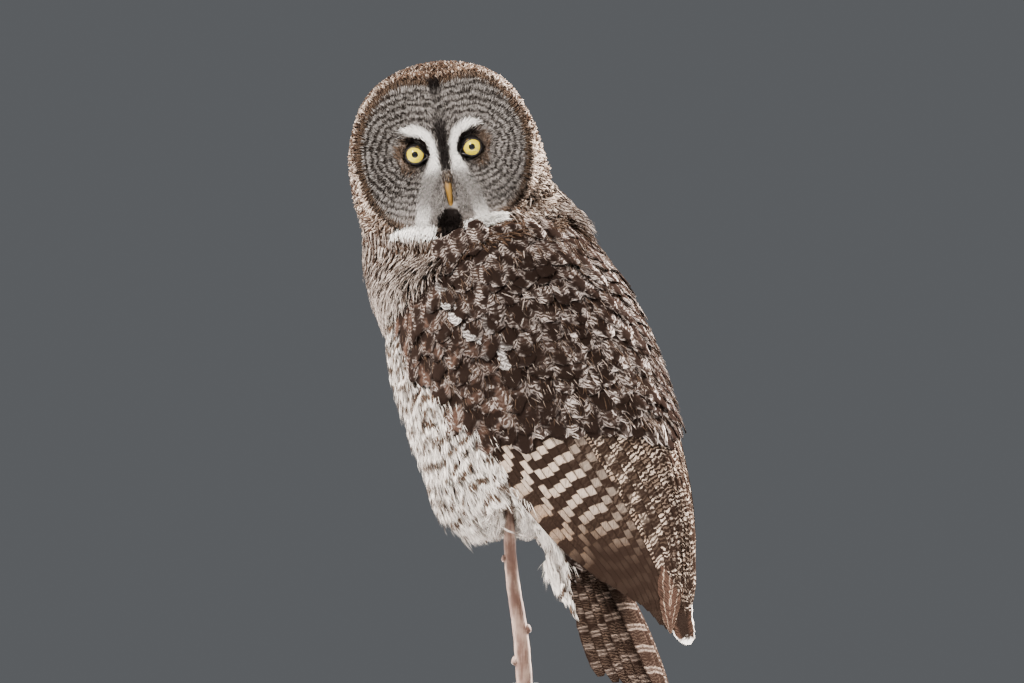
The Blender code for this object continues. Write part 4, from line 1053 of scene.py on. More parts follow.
def bill_line(k):
    """The bill's middle line in the head's frame, 0 at its root and 1 at its hooked tip."""
    return np.stack((0 * k, 0.0475 + 0.0120 * np.sin(np.radians(20 + 125 * k)), -0.0240 - 0.036 * k), -1)


horn = horn_finish()
steps = np.linspace(0, 1, 22)
upper = grow("bill_top", from_head(bill_line(steps)), BILL_RADIUS * (1 - steps**2.2 * 0.93), 24, horn)
steps = np.linspace(0, 1, 10)
jaw = from_head(JAW_ROOT + steps[:, None] * JAW_REACH)
lower = grow("bill_jaw", jaw, curve(JAW_RADII, steps), 20, horn)
wear(upper, "bill_horn", "bill_upper")
wear(lower, "bill_horn", "bill_lower")

# %% [markdown]
# ## The facial disc
# The disc's feathers are short, stiff and almost without vanes. They radiate from each eye like the ribs
# of a dish, lie nearly flat and are set very close. Towards the middle of the face they turn upwards above
# the bill and downwards beside it.

# %% Lie of the face
BILL_HALF, BILL_BELOW, BILL_HALF_HEIGHT = 0.0062, 0.0435, 0.0170  # the bare place round the bill
LID_CLEAR = 9.8 * MM  # nothing grows nearer than this to the line of sight


def face_lie(points):
    """The way the face's feathers point, outwards from the nearer eye."""
    x, _, z = to_head(points).T
    side = np.where(x < 0, -1.0, 1.0)
    radial = unit(np.stack((np.abs(x) - EYE_X, np.zeros_like(x), z - EYE_Z), 1))
    middle = 1 - ease(0.004, 0.020, np.abs(x))
    rise = np.where(z > -0.02, 1.0, -1.0)
    radial[:, 2] = radial[:, 2] * (1 - middle) + rise * middle
    radial[:, 0] = side * radial[:, 0] * (1 - 0.8 * middle)
    return radial @ HEAD


def in_face(points):
    head = to_head(points)
    bill = (np.abs(head[:, 0]) < BILL_HALF) & (np.abs(head[:, 2] + BILL_BELOW) < BILL_HALF_HEIGHT)
    return (face_reach(head) < 1.0) & (head[:, 1] > 0.012) & (from_eyes(head) > LID_CLEAR) & ~bill


def face_facts(points, draw):
    white, black, buff, lore, from_eye = face_masks(points)
    head = to_head(points)
    rim = ease(0.930, 0.980, face_reach(head))
    low, down = 1 - ease(-0.066, -0.052, head[:, 2]), 1 - ease(-0.058, -0.022, head[:, 2])
    # dim is painted shade: the face's right half is made darker above the chin.
    dim = ease(0.020, 0.045, head[:, 0]) * (1 - down)
    return {
        "tone": draw.random(len(points)), "pale": 0.42 - 0.40 * rim + 0.06 * lore + 0.18 * down - 0.11 * dim,
        "ringed": 0.22 * (1 - rim) * (1 - lore), "reach": from_eye,
        "white": np.clip(white * draw.uniform(0.70, 1.28, len(points)), 0, 1), "black": black,
        "buff": np.maximum(buff, 0.22 * rim + 0.15 * low),
    }


# %% Disc feathers
DISC_SPACING = 1.55 * MM


def make_disc():
    draw = np.random.default_rng(21)
    roots, normals = roots_where(in_face, DISC_SPACING, 22)
    n, head = len(roots), to_head(roots)
    lie = combed(face_lie(roots), normals, 0.16, draw)
    close, rim = 1 - ease(0.010, 0.024, from_eyes(head)), ease(0.915, 0.970, face_reach(head))
    length = (0.0090 - 0.0045 * close - 0.0040 * rim) * draw.uniform(0.8, 1.25, n)
    half = (0.00062 - 0.00018 * close) * draw.uniform(0.8, 1.2, n)
    rise = (0.0030 - 0.0014 * close) * draw.uniform(0.7, 1.3, n)
    facts = face_facts(roots + lie * (length * 0.6)[:, None], draw)
    facts["black"] = np.maximum(facts["black"], 0.78 * rim)
    middle = roots[:, None, :] + lie[:, None, :] * (length[:, None] * TUFT_ALONG)[..., None]
    facts["reach"] = from_eyes(to_head(middle.reshape(-1, 3))).reshape(n, -1)
    tufts = (roots, normals, lie, length, half, rise, rise * 0.25, head_sheet(roots))
    lay_coat("face_disc", face_finish, "face_plumage", ["head"], tufts, facts)


make_disc()

# %% [markdown]
# ## White crescents, black chin and the bars beside it
# These are longer, finer hairs that stand a little proud of the disc. The crescents flow outwards and up
# from between the eyes, and below the eyes down past the bill. The white bars are dense, short and blunt.

# %% Face marks
MARK_SPACING, MARK_HALF = 1.15 * MM, 0.36 * MM


def marked(points):
    """Where a mark lies, or the grey lore."""
    white, black, _, lore, _ = face_masks(points)
    x, y, z = to_head(points).T
    strongest = np.maximum(np.maximum(white, black), lore)
    dense = in_face(points) & (strongest > 0.30)
    return dense | ((bow_share(x, z) > 0.3) & (y > 0.0))


def flow_of_marks(x, z, low):
    """The way the marks' hairs point, in the head's frame; low is 1 at the chin and in its bars."""
    side = np.where(x < 0, -1.0, 1.0)
    _, way = along_line(np.stack((np.abs(x), z), 1), CRESCENT)
    way = np.where((z > -0.004)[:, None], -way, way)
    flow = np.stack((way[:, 0] * side, np.zeros_like(x), way[:, 1]), 1)
    down = np.stack((0.25 * side, np.zeros_like(x), -np.ones_like(x)), 1)
    flow = flow * (1 - low)[:, None] + down * low[:, None]
    stripe = 1 - ease(0.003, 0.006, np.abs(x))
    parted = np.stack((0.15 * side, 0 * x, np.where(z > -0.02, 1.0, -1.0)), 1)
    return flow * (1 - stripe)[:, None] + parted * stripe[:, None]


def make_marks():
    draw = np.random.default_rng(31)
    roots, normals = roots_where(marked, MARK_SPACING, 32)
    n = len(roots)
    x, _, z = to_head(roots).T
    bow = bow_share(x, z)
    low = np.maximum(1 - ease(-0.066, -0.056, z), bow > 0.1)
    lie = combed(flow_of_marks(x, z, low) @ HEAD, normals, 0.22, draw)
    length = (0.0105 - 0.0030 * low) * draw.uniform(0.7, 1.25, n)
    half = MARK_HALF * draw.uniform(0.8, 1.3, n)
    rise = (0.0042 + 0.0044 * bow) * draw.uniform(0.7, 1.2, n)
    facts = face_facts(roots + lie * (length * 0.30)[:, None] * (1 - bow)[:, None], draw)
    facts["white"] = np.maximum(facts["white"], bow)
    facts["black"] = facts["black"] * (1 - bow)
    tufts = (roots, normals, lie, length, half, rise, rise * 0.3, head_sheet(roots))
    lay_coat("face_marks", face_finish, "face_plumage", ["head"], tufts, facts)


make_marks()

# %% [markdown]
# ## Bristles of the bill
# Fine grey bristles bury the root of the bill and its flanks, so that only the ridge and the hooked tip
# stay bare. They start beside the bill's middle line instead of on the skin.

# %% Bill bristles
BRISTLES, BRISTLE_LENGTH, BRISTLE_HALF = 760, 8.8 * MM, 0.26 * MM
BRISTLE_RISE, BRISTLE_CURL = 1.2 * MM, 0.8 * MM


def make_bristles():
    draw = np.random.default_rng(35)
    n = BRISTLES
    k, side = draw.uniform(-0.16, 0.55, n), np.where(draw.random(n) < 0.5, -1.0, 1.0)
    root = k < 0.10
    start = bill_line(k) + np.stack((0 * k, 0.0022 - 0.003 * draw.random(n), 0 * k), 1)
    over, beside = draw.uniform(0, 0.0048, n), 0.0044 - 0.0016 * k + 0.0026 * draw.random(n)
    start[:, 0] = side * np.where(root, over, beside)
    start[root, 1] += 0.0042
    way = np.stack((side * draw.normal(-0.20, 0.16, n), 0.25 + 0.20 * draw.random(n), -np.ones(n)), 1)
    normals = unit(np.stack((side * np.where(root, 0.2, 0.9), np.full(n, 0.5), np.full(n, 0.1)), 1)) @ HEAD
    lie, roots = laid(unit(way) @ HEAD, normals), from_head(start)
    length = BRISTLE_LENGTH * draw.uniform(0.6, 1.3, n) * (1 - 0.4 * k) * np.where(root, 0.60, 1.0)
    facts = tuft_facts(
        n, tone=draw.random(n), pale=draw.uniform(0.25, 0.95, n) - 0.35 * root,
        black=0.75 * (draw.random(n) < 0.35), buff=0.3 * draw.random(n),
    )
    sizes = [np.full(n, size) for size in (BRISTLE_HALF, BRISTLE_RISE, BRISTLE_CURL)]
    tufts = (roots, normals, lie, length, *sizes, head_sheet(roots))
    lay_coat("bill_bristles", face_finish, "face_plumage", ["head"], tufts, facts)


make_bristles()

# %% [markdown]
# ## Crown, cheeks and nape
# Outside the disc's dark rim the feathers turn backwards over the head. Seen from the front they make a
# mottled band of cream, buff and brown; each is barred, so its tone changes along its length.

# %% Head coat
HEAD_SPACING, HEAD_HALF, CROWN_FOOT = 2.1 * MM, 0.80 * MM, 12 * MM
NECK_CUT = np.array((-0.0888, 0.0, 0.4845))
NECK_CUT_UP = unit(np.array((-0.22, -0.40, 1.0)))


def above_neck(points):
    """How far points lie above the cut between head and neck."""
    return (points - NECK_CUT) @ NECK_CUT_UP


def head_lie(points):
    """Outwards from the rim of the disc, then back over the head and down the nape."""
    local = to_head(points)
    out = unit(np.stack((local[:, 0], 0 * local[:, 0], local[:, 2] + 0.01), 1))
    back = ease(0.045, -0.015, local[:, 1])
    down = ease(0.01, -0.07, local[:, 1])
    way = out * (1 - back)[:, None]
    way[:, 1] -= 0.35 + 0.65 * back
    way[:, 2] -= 0.9 * down + 0.25 * back * (local[:, 2] < 0.03)
    return way @ HEAD


def on_head(points):
    local = to_head(points)
    return (above_neck(points) > -0.012) & ((face_reach(local) > 1.015) | (local[:, 1] < 0.012))


def head_pale(local, front, draw):
    """How pale each tuft of the head is along its length: barred, blotched and dark under the chin."""
    x, y, z = local.T
    bars = 0.5 + 0.5 * np.sin(2 * np.pi * (TUFT_ALONG * 1.6 + draw.random(len(x))[:, None]))
    side = ease(0.02, 0.07, np.abs(x)) * ease(-0.085, -0.045, z)
    chin = (1 - ease(-0.075, -0.055, z)) * (1 - ease(0.04, 0.07, np.abs(x)))
    blotch = np.sin(x * 620 + 2 * np.sin(z * 410)) * np.sin(z * 560 + y * 500)
    whole = (0.02 + 0.34 * side) * front - 0.10 - 0.08 * (1 - side) - 0.42 * chin * front
    whole += (0.28 + 0.16 * side + 0.22 * ease(0.010, -0.030, y)) * blotch - 0.16 * ease(-0.06, -0.09, z)
    # Painted light: the head's left side below the crown is made paler, as if lit from behind.
    whole += 0.20 * ease(0.045, 0.080, -x) * ease(0.03, -0.02, z)
    return whole[:, None] + 0.42 * bars + 0.50 * (draw.random(len(x))[:, None] - 0.5)


def make_head_coat():
    draw = np.random.default_rng(41)
    roots, normals = roots_where(on_head, HEAD_SPACING, 42)
    keep = bow_share(*to_head(roots)[:, (0, 2)].T) < 0.2
    roots, normals = roots[keep], normals[keep]
    n, local = len(roots), to_head(roots)
    x, y, z = local.T
    front = ease(0.0, 0.03, y)
    normals = unit(normals + 1.6 * ease(0.0, 0.05, local[:, 2:]) * unit(roots - HEAD_CENTRE))
    lie = combed(head_lie(roots), normals, 0.22 + 0.16 * front, draw)
    length = (0.0155 - 0.0040 * front) * draw.uniform(0.65, 1.25, n)
    half = HEAD_HALF * draw.uniform(0.7, 1.3, n)
    rise = (0.0096 - 0.0010 * front + 0.0020 * ease(0.045, 0.075, z)) * draw.uniform(0.84, 1.03, n)
    pale = head_pale(local, front, draw)
    spot = np.hypot((x - 0.0015) / 0.0125, (z + 0.076) / 0.0150) + draw.normal(0, 0.12, n)
    notch = np.hypot(x / 0.0075, (z - 0.068) / 0.0150) + draw.normal(0, 0.15, n)
    black = np.maximum(1 - ease(0.75, 1.15, spot), 0.46 - 0.46 * ease(0.4, 1.45, notch)) * front
    facts = tuft_facts(
        n, tone=draw.random(n), pale=pale, black=black, buff=0.22 * draw.random(n) * (0.5 + front),
    )
    tufts = (roots, normals, lie, length, half, rise, 0.70 * rise, head_sheet(roots))
    for name, part in (("crown_coat", z > CROWN_FOOT), ("nape_coat", z <= CROWN_FOOT)):
        lay_coat(name, crown_finish, "face_plumage", ["head"], tufts, facts, part)


make_head_coat()

# %% [markdown]
# ## Neck and breast
# Long loose feathers, barred and clumped in pale and dark locks, fall from the chin and the nape over the
# shoulders. They hide where the head turns.

# %% Neck coat
NECK_SPACING, NECK_LENGTH, NECK_HALF, NECK_RISE = 2.6 * MM, 22 * MM, 1.0 * MM, 12 * MM
NECK_FALL = np.array((0.12, -0.05, -1.0))


def on_neck(points):
    turn, z = around(points)
    over = (z > 0.138) | ((z > 0.098) & (turn > curve(WING_EDGE, z) - 10))
    clear = (to_head(points)[:, 1] < 0.05) | (turn < curve(WING_EDGE, z) + 34)
    return (above_neck(points) < 0.006) & over & clear


def neck_pale(roots, draw):
    """How pale each tuft of the neck is along its length: barred, clumped and paler on the breast."""
    turn, z = around(roots)
    x, y, _ = to_body(roots).T
    past = turn - curve(WING_EDGE, z)
    bars = 0.5 + 0.5 * np.sin(2 * np.pi * (TUFT_ALONG * 1.3 + draw.random(len(x))[:, None]))
    breast = (1 - ease(-8, 10, past)) * (1 - ease(0.135, 0.185, z + draw.normal(0, 0.008, len(x))))
    clump = np.sin(np.degrees(np.arctan2(x, y)) * 0.85 + 2.5 * np.sin(z * 170)) * np.sin(z * 260 + x * 150)
    whole = 0.06 + 0.30 * clump + 0.30 * np.maximum(belly_share(turn, z), breast)
    # The first term is painted light: the neck's left side is made paler, as if lit from behind.
    whole += 0.14 * ease(-0.05, -0.11, x) - 0.42 * (ease(12, 40, past) * ease(0.150, 0.120, z))
    return whole[:, None] + 0.42 * bars + 0.40 * (draw.random(len(x))[:, None] - 0.5)


def make_neck_coat():
    draw = np.random.default_rng(51)
    roots, normals = roots_where(on_neck, NECK_SPACING, 52)
    n = len(roots)
    high = ease(0.10, 0.17, to_body(roots)[:, 2:])
    lie = combed(-BODY[2] * (1 - high) + NECK_FALL * high, normals, 0.17, draw)
    length = NECK_LENGTH * draw.uniform(0.75, 1.25, n)
    half = NECK_HALF * draw.uniform(0.7, 1.3, n)
    rise = NECK_RISE * draw.uniform(0.75, 1.1, n)
    pale = neck_pale(roots, draw)
    facts = tuft_facts(n, tone=draw.random(n), pale=pale, buff=0.12 * draw.random(n))
    tufts = (roots, normals, lie, length, half, rise, rise * 0.40, body_sheet(roots))
    lay_coat("neck_coat", neck_finish, "body_plumage", ["neck"], tufts, facts)


make_neck_coat()

# %% [markdown]
# ## Belly
# The belly is a deep, soft, whitish coat with brown streaks, ragged along its lower edge where it hangs
# over the stem. Each feather here is a fan of loose barbs from one root; the middle ones carry the streak.

# %% Belly coat
# How low the loose feathers hang, as (world x, world z) from the belly's front past the stem to the tail
HEM = (
    (-0.140, 0.290), (-0.118, 0.246), (-0.100, 0.222), (-0.084, 0.203), (-0.070, 0.195), (-0.055, 0.193),
    (-0.047, 0.214), (-0.038, 0.227), (-0.028, 0.225), (-0.014, 0.200), (0.0, 0.160), (0.010, 0.141),
    (0.020, 0.132), (0.035, 0.105), (0.060, 0.060),
)
BELLY_SPACING, BELLY_LENGTH, BELLY_RISE = 7.4 * MM, 34 * MM, 14.5 * MM
STRAND_SPREAD, BAR_PITCH, SHORTEST = 2.6 * MM, 16.5 * MM, 6 * MM


def above_hem(roots, way, length, draw):
    """Lengths cut so that the tips stay above the hem, with a ragged edge."""
    tip = roots + way * length[:, None]
    low = curve(HEM, tip[:, 0]) + draw.normal(0, 0.0028, len(roots))
    fall = np.maximum(-way[:, 2], 0.2)
    return np.clip(length - np.maximum(low - tip[:, 2], 0) / fall, SHORTEST, None)


def lay_loose(name, node, roots, normals, lie, length, rise, streaked, dim, fan, strands, half, draw):
    """A coat of fans of loose strands; the middle strands of streaked fans are dark."""
    coat, n = Coat(name), len(roots)
    x, _, z = to_body(roots).T
    shift = draw.normal(0, 0.0017, (n, 1)) + 0.0058 * np.sin(x * 160 + z * 70)[:, None]
    dim = dim[:, None]
    for share in np.linspace(-1, 1, strands):
        way = laid(turned(lie, normals, share * fan + draw.normal(0, 0.08, n)), normals)
        spots = roots + np.cross(lie, normals) * share * STRAND_SPREAD
        long = above_hem(spots, way, length * (1 - 0.25 * abs(share)) * draw.uniform(0.7, 1.15, n), draw)
        dark = streaked * float(1 - ease(0.45, 1.0, abs(share))) * draw.uniform(0.5, 1.0, n)
        bar = 0.5 + 0.5 * np.sin(2 * np.pi * (TUFT_ALONG * 1.3 + (draw.random(n) * 0.4)[:, None]))
        streak = dark[:, None] * (0.20 + 0.3 * bar) * ease(0.05, 0.3, TUFT_ALONG)
        height = to_body(spots)[:, 2:] - long[:, None] * TUFT_ALONG
        facts = tuft_facts(
            n, tone=draw.random(n), pale=0.45 + 0.35 * TUFT_ALONG - dim - streak, buff=0.20 * draw.random(n),
            reach=(height + shift) * RING_PITCH / BAR_PITCH,
            ringed=(0.85 - dim) * streaked[:, None] * (1 - ease(0.86, 1.0, TUFT_ALONG)),
        )
        lift = rise * draw.uniform(0.75, 1.15, n) * np.clip(long / length, 0.45, 1)
        wide = half * draw.uniform(0.7, 1.3, n)
        add_tufts(coat, spots, normals, way, long, wide, lift, lift * 0.35, body_sheet(spots), facts)
    coat.done(belly_finish, "body_plumage", node)


def on_belly(points):
    turn, z = around(points)
    slit = 14 * ease(0.015, 0.045, z) * (1 - ease(0.105, 0.120, z)) + 5 * ease(-0.035, -0.060, z)
    inside = (z < 0.146) & (z > -0.150) & (turn < curve(WING_EDGE, z) + 2 - slit)
    return inside & (points[:, 2] > curve(HEM, points[:, 0]) + 0.004)


def make_belly_coat():
    draw = np.random.default_rng(61)
    roots, normals = roots_where(on_belly, BELLY_SPACING, 62)
    n = len(roots)
    lie = combed(-BODY[2], normals, 0.10, draw)
    x, y, z = to_body(roots).T
    degrees = np.degrees(np.arctan2(x, y))
    bent = degrees + 3 * np.sin(z * 130)
    wave = np.sin(bent * 0.62) * np.sin(z * 150 + bent * 0.35)
    streaked = ease(-0.60, 0.30, wave + draw.normal(0, 0.25, n))
    streaked *= 0.40 + 0.60 * ease(-0.115, -0.075, z)
    streaked = np.maximum(streaked, 0.7 * ease(0.02, 0.13, z + draw.normal(0, 0.02, n)))
    high = ease(0.055, 0.145, z + draw.normal(0, 0.010, n)) * ease(60, 45, np.abs(degrees + 20))
    dim = 0.07 * ease(-0.085, -0.050, z) + 0.22 * high
    length = BELLY_LENGTH * draw.uniform(0.8, 1.15, n) * (1 - 0.35 * ease(0.06, 0.13, z))
    rise = BELLY_RISE - 0.003 * ease(0.08, 0.14, z)
    fans = (roots, normals, lie, length, rise, streaked, dim)
    halves = (("belly_left", x <= 0, 10, 0.60 * MM), ("belly_right", x > 0, 9, 0.78 * MM))
    for name, part, strands, half in halves:
        lay_loose(name, "torso", *[values[part] for values in fans], 0.30, strands, half, draw)


make_belly_coat()

# %% [markdown]
# ## Legs
# Short tufts cover the legs down to the toes. Each is cut to the room that it has above the toes of its
# side, and those beside the stem are darker, because they stand in its shadow.

# %% Leg coat
LEG_SPACING, LEG_LENGTH = 2.2 * MM, 8.0 * MM
LEG_HALF, LEG_RISE, LEG_CURL = 0.5 * MM, 1.6 * MM, 0.4 * MM
LEG_FALL = np.array((0.05, 0.0, -1.0))
PERCH_X = -0.037  # where the stem's tip stands, as world x
LEG_ENDS = (0.194, 0.204)  # heights above the floor, left of the perch and right of it


def on_legs(points):
    near = (np.abs(points[:, 0] + 0.034) < 0.034) & (points[:, 2] < 0.262)
    return near & (to_body(points)[:, 2] > -0.150)


def make_leg_coat():
    draw = np.random.default_rng(65)
    roots, normals = roots_where(on_legs, LEG_SPACING, 66)
    n, x = len(roots), roots[:, 0]
    lie = unit(LEG_FALL + 0.35 * normals + draw.normal(0, 0.22, (n, 3)))
    length = LEG_LENGTH * draw.uniform(0.6, 1.3, n)
    length = np.clip(roots[:, 2] - np.where(x < PERCH_X, *LEG_ENDS), 0.0022, length)
    shade = 0.45 * (1 - ease(0.005, 0.018, np.abs(x - PERCH_X)))
    facts = tuft_facts(
        n, tone=draw.random(n), pale=draw.uniform(0.3, 1.0, n) - shade, buff=0.3 * draw.random(n),
    )
    sizes = [np.full(n, size) for size in (LEG_HALF, LEG_RISE, LEG_CURL)]
    tufts = (roots, normals, lie, length, *sizes, body_sheet(roots))
    lay_coat("leg_coat", belly_finish, "body_plumage", ["leg_left", "leg_right"], tufts, facts)


make_leg_coat()

# %% [markdown]
# ## Feathers of the folded wing
# A folded wing is roofed with tiers. Long primaries and secondaries come lowest, barred across; over their
# roots lie the greater, the median and the lesser coverts, each row shorter and rounder than the last. The
# tiers are given by their first and last root and tip, on a grid over the wing: how far along the body,
# and how far from the wing's lower edge (0) to its upper one (1).

# %% Wing surface
def wing_point(side, z, across, out=0.0):
    edge, top = curve(WING_EDGE, z), curve(WING_TOP, z)
    return outline(z, side * (edge + (top - edge) * across), out)


def feather_lines(side, root, tip, low, high, rows):
    """Lines of points and normals, in the world, of feathers from root to tip, each (n, 2) on the wing."""
    t = np.linspace(0, 1, rows)
    z = root[:, None, 0] + (tip - root)[:, None, 0] * t
    w = root[:, None, 1] + (tip - root)[:, None, 1] * t
    rise = low + (high - low) * t**0.8
    here = wing_point(side, z, w, rise)
    along = wing_point(side, z - 0.002, w, rise) - here
    over = wing_point(side, z, w + 0.02, rise) - here
    normal = unit(np.cross(along, over)) * side
    outward = wing_point(side, z, w, rise + 0.001) - here
    normal *= np.sign((normal * outward).sum(-1, keepdims=True))
    return from_body(here), unit(normal @ BODY)


LONG = ((0.0, 0.50), (0.15, 0.85), (0.5, 1.0), (0.80, 0.93), (0.93, 0.72), (1.0, 0.30))
ROUND = ((0.0, 0.55), (0.3, 0.9), (0.65, 1.0), (0.86, 0.84), (0.96, 0.55), (1.0, 0.22))


# %% [markdown]
# The flight feathers are barred. The primaries carry blocks of brown and buff, and the secondaries are
# grey and finely scribbled. The bars come from each feather's own map, so they bend with it.

# %% Flight feather finish
def flight_finish(name, dark, pale, buff, thin=False):
    """Bars across the feather's length, broken by scribbles; thin ones are drawn as double lines."""
    finish = Finish(name, 0.85, specular_ior_level=0.0)
    across, along = finish.uv()
    tone, warm, barred, grey, bars = (finish.attribute(n) for n in ("tone", "warm", "barred", "grey", "bars"))
    off = (across - 0.5).size() * 2.0
    barbs = finish.noise(finish.vector(across * 3.0, (along + off * 0.045) * 160.0, tone * 40.0), 1.0, 2)
    rough, mottle = finish.noise(finish.place(), 260.0, 3), finish.noise(finish.place(), 90.0, 2)
    wave = ((along - off * 0.006 + (mottle - 0.5) * 0.014) * bars * (2 * math.pi) + tone * 6.28).sine()
    scribble = (along * 310.0 + rough * 13.0 + off * 5.0 + tone * 9.0).sine().eased(-0.1, 0.6)
    squiggle = scribble * mottle.eased(0.34, 0.54)
    block = wave.eased(-0.05, 0.22)
    if thin:
        block = wave.eased(0.45, 0.70) * (wave.eased(0.88, 0.97) * -0.8 + 1.0)
    warmth = (warm + mottle * 0.5 + wave * -0.20).eased(0.0, 1.0) * (rough * 0.8 + 0.5)
    plain = finish.mix(paint(*pale), paint(*buff), warmth)
    light = block * barred * (grey * -1.0 + 1.0) + squiggle * grey * (block * barred + (barred * -1.0 + 1.0))
    colour = finish.mix(paint(*dark), plain, light)
    colour = finish.mix(colour, paint(0.018, 0.011, 0.008), off.eased(0.10, 0.03) * 0.6)
    colour = finish.mix(colour, paint(*dark), (off + (rough - 0.5) * 0.3).eased(0.86, 0.99) * 0.8)
    finish.feed("Base Color", finish.mix(colour, paint(*dark), (barbs.eased(0.48, 0.72)) * 0.48))
    finish.bump(barbs, 0.0006, 0.6)
    return finish


flight = flight_finish("flight_feathers", (0.013, 0.008, 0.006), (0.37, 0.295, 0.240), (0.22, 0.138, 0.087))

# %% [markdown]
# The coverts and the mantle are darker. Each of their feathers has a dark wedge along the shaft, wider
# towards the tip, and thin pale squiggles beside it, some feathers many and some hardly any.

# %% Covert finish
def covert_finish():
    finish = Finish("covert_feathers", 0.88, specular_ior_level=0.0)
    across, along = finish.uv()
    tone, warm, bright, white = (finish.attribute(n) for n in ("tone", "warm", "bright", "white"))
    off = (across - 0.5).size() * 2.0
    rough, mottle = finish.noise(finish.place(), 190.0, 3), finish.noise(finish.place(), 85.0, 2)
    squiggle = (along * 54.0 + off * off * 11.0 + rough * 14.0 + tone * 6.0).sine().eased(0.0, 0.62)
    wedge = (off - along * 0.26 + (mottle - 0.5) * 0.9).eased(0.26, 0.05)
    soft = finish.noise(finish.place(), 55.0, 3)
    patch = (mottle + (soft - 0.5) * 0.8 + off * 0.10).eased(0.46, 0.66)
    light = squiggle * patch * (wedge * -0.9 + 1.0) * bright
    # Painted light: the feathers' edges are made paler, standing in for rim light.
    light = light.most((off + along * 0.2 + (rough - 0.5) * 0.8).eased(1.0, 1.15) * bright * patch * 0.7)
    browner = warm * (soft + (mottle - 0.5) * 0.7).eased(0.48, 0.66)
    dark = finish.mix(paint(0.0095, 0.0060, 0.0048), paint(0.048, 0.026, 0.018), browner)
    dark = finish.mix(dark, paint(0.042, 0.030, 0.025), patch * bright * (wedge * -0.7 + 1.0))
    colour = finish.mix(dark, paint(0.47, 0.40, 0.365), light)
    edge = (across + (mottle - 0.5) * 1.1 + along * 0.55).eased(0.95, 1.10) * along.eased(0.32, 0.50)
    colour = finish.mix(colour, paint(0.66, 0.61, 0.58), edge * white * (squiggle * 0.75 + 0.25))
    barbs = finish.noise(finish.vector(across * 3.0, (along + off * 0.06) * 70.0, tone * 40.0), 1.0, 2)
    finish.feed("Base Color", finish.mix(colour, paint(0.008, 0.005, 0.004), barbs.eased(0.52, 0.75) * 0.40))
    finish.bump(barbs, 0.0005, 0.5)
    return finish


cover = covert_finish()

# %% Flight feathers of both wings
# name, how many, first and last root, first and last tip, half width and tip height in mm, and the power
# by which the gaps between the tips grow
FLIGHT = (
    ("primaries", 11, (0.000, -0.07), (-0.045, 0.42), (-0.185, -0.15), (-0.272, 0.27), 8.5, -3.4, 0.60),
    ("inner primaries", 5, (-0.060, 0.40), (-0.060, 0.92), (-0.268, 0.36), (-0.264, 0.86), 12.0, -4.4, 1.0),
    ("secondaries", 9, (-0.040, 0.41), (-0.050, 0.98), (-0.226, 0.33), (-0.262, 0.98), 13.0, -2.2, 1.0),
    ("greater coverts", 12, (0.030, -0.02), (0.000, 0.97), (-0.058, -0.03), (-0.118, 0.97), 11.5, -0.6, 1.0),
)
FLIGHT_ROWS, FLIGHT_COLUMNS = 22, 9


def flight_facts(tier, t, draw):
    """The marks of a tier's feathers; t is 0 for the first of them and 1 for the last."""
    along = np.tile(np.repeat(np.linspace(0, 1, FLIGHT_ROWS), FLIGHT_COLUMNS), 2)[None, :]
    inner, none = t[:, None], 0 * t[:, None]
    if tier == "primaries":
        late = 0.22 * (1 - ease(0, 0.4, inner))
        fade = 1 - ease(0.52 + late, 0.76 + late, along)
        clear = 1.0 - 0.20 * inner - 0.55 * ease(0.72, 0.95, inner)
        return {
            "warm": 0.22 - 0.10 * inner + 0.4 * ease(0.45, 0.75, along), "grey": 0.10 * fade,
            "barred": 0.015 + clear * fade * (1 - 0.35 * ease(0.40, 0.60, along)),
            "bars": 7.5 + 5.5 * ease(0.25, 0.5, inner),
        }
    if tier == "inner primaries":
        return {"warm": 0.6 + none, "grey": none, "barred": 0.03 + none, "bars": 9.0 + none}
    if tier == "secondaries":
        return {
            "warm": 0.25 - 0.20 * inner, "grey": 0.86 + 0.14 * ease(0, 0.3, inner), "bars": 9.5 + none,
            "barred": 0.92 - 0.45 * ease(0.2, 0.8, inner) - 0.84 * (inner < 0.05),
        }
    return {"warm": 0.25 - 0.25 * inner, "bright": draw.uniform(0.35, 0.75, (len(t), 1)), "white": none}


def spaced(first, last, share):
    """Places between first and last, at these shares of the way."""
    return np.array(first) + np.outer(share, np.array(last) - first)


def make_flight(side, name, node):
    draw = np.random.default_rng(70 + side)
    coat, covers = Coat(name), Coat("greater_coverts_" + name.split("_")[1])
    cells, used = sum(row[1] for row in FLIGHT), 0
    for tier, count, root_a, root_b, tip_a, tip_b, half, top, power in FLIGHT:
        outermost, covering = tier == "primaries", tier == "greater coverts"
        t = np.linspace(0, 1, count)
        close = t ** (1.30 if outermost else 1.0)
        root, tip = spaced(root_a, root_b, close), spaced(tip_a, tip_b, close)
        tip[:, 0] = tip_a[0] + (tip_b[0] - tip_a[0]) * t**power + draw.uniform(-0.003, 0.003, count)
        order = 0 if covering else np.linspace(0, 0.0016, count)[:, None]
        line, normal = feather_lines(side, root, tip, -0.0068 + order, top * MM + order, FLIGHT_ROWS)
        facts = flight_facts(tier, t, draw)
        facts["tone"] = (np.arange(count) * 0.46 + draw.uniform(0, 0.22, count)) % 1
        add_vanes(
            covers if covering else coat, line, normal, np.full(count, half * MM), LONG,
            strips(used, count, cells), facts, 71 + used, FLIGHT_COLUMNS, camber=0.09,
            tilt=np.full(count, (0.16 if outermost else 0.075) * side), ragged=0.07, size=(0.9 / cells, 0.96),
        )
        used += count
    covers.done(cover, "flight_feathers", node)
    coat.done(flight, "flight_feathers", node)


make_flight(-1, "flight_left", "wing_left")
make_flight(1, "flight_right", "wing_right")

# %% [markdown]
# ## The near wing's tip
# Two feathers at the tip of the left wing lie over the rest and are drawn singly: one with a white fringe,
# and the last long primary, which is pointed and has pale lines along its edges.

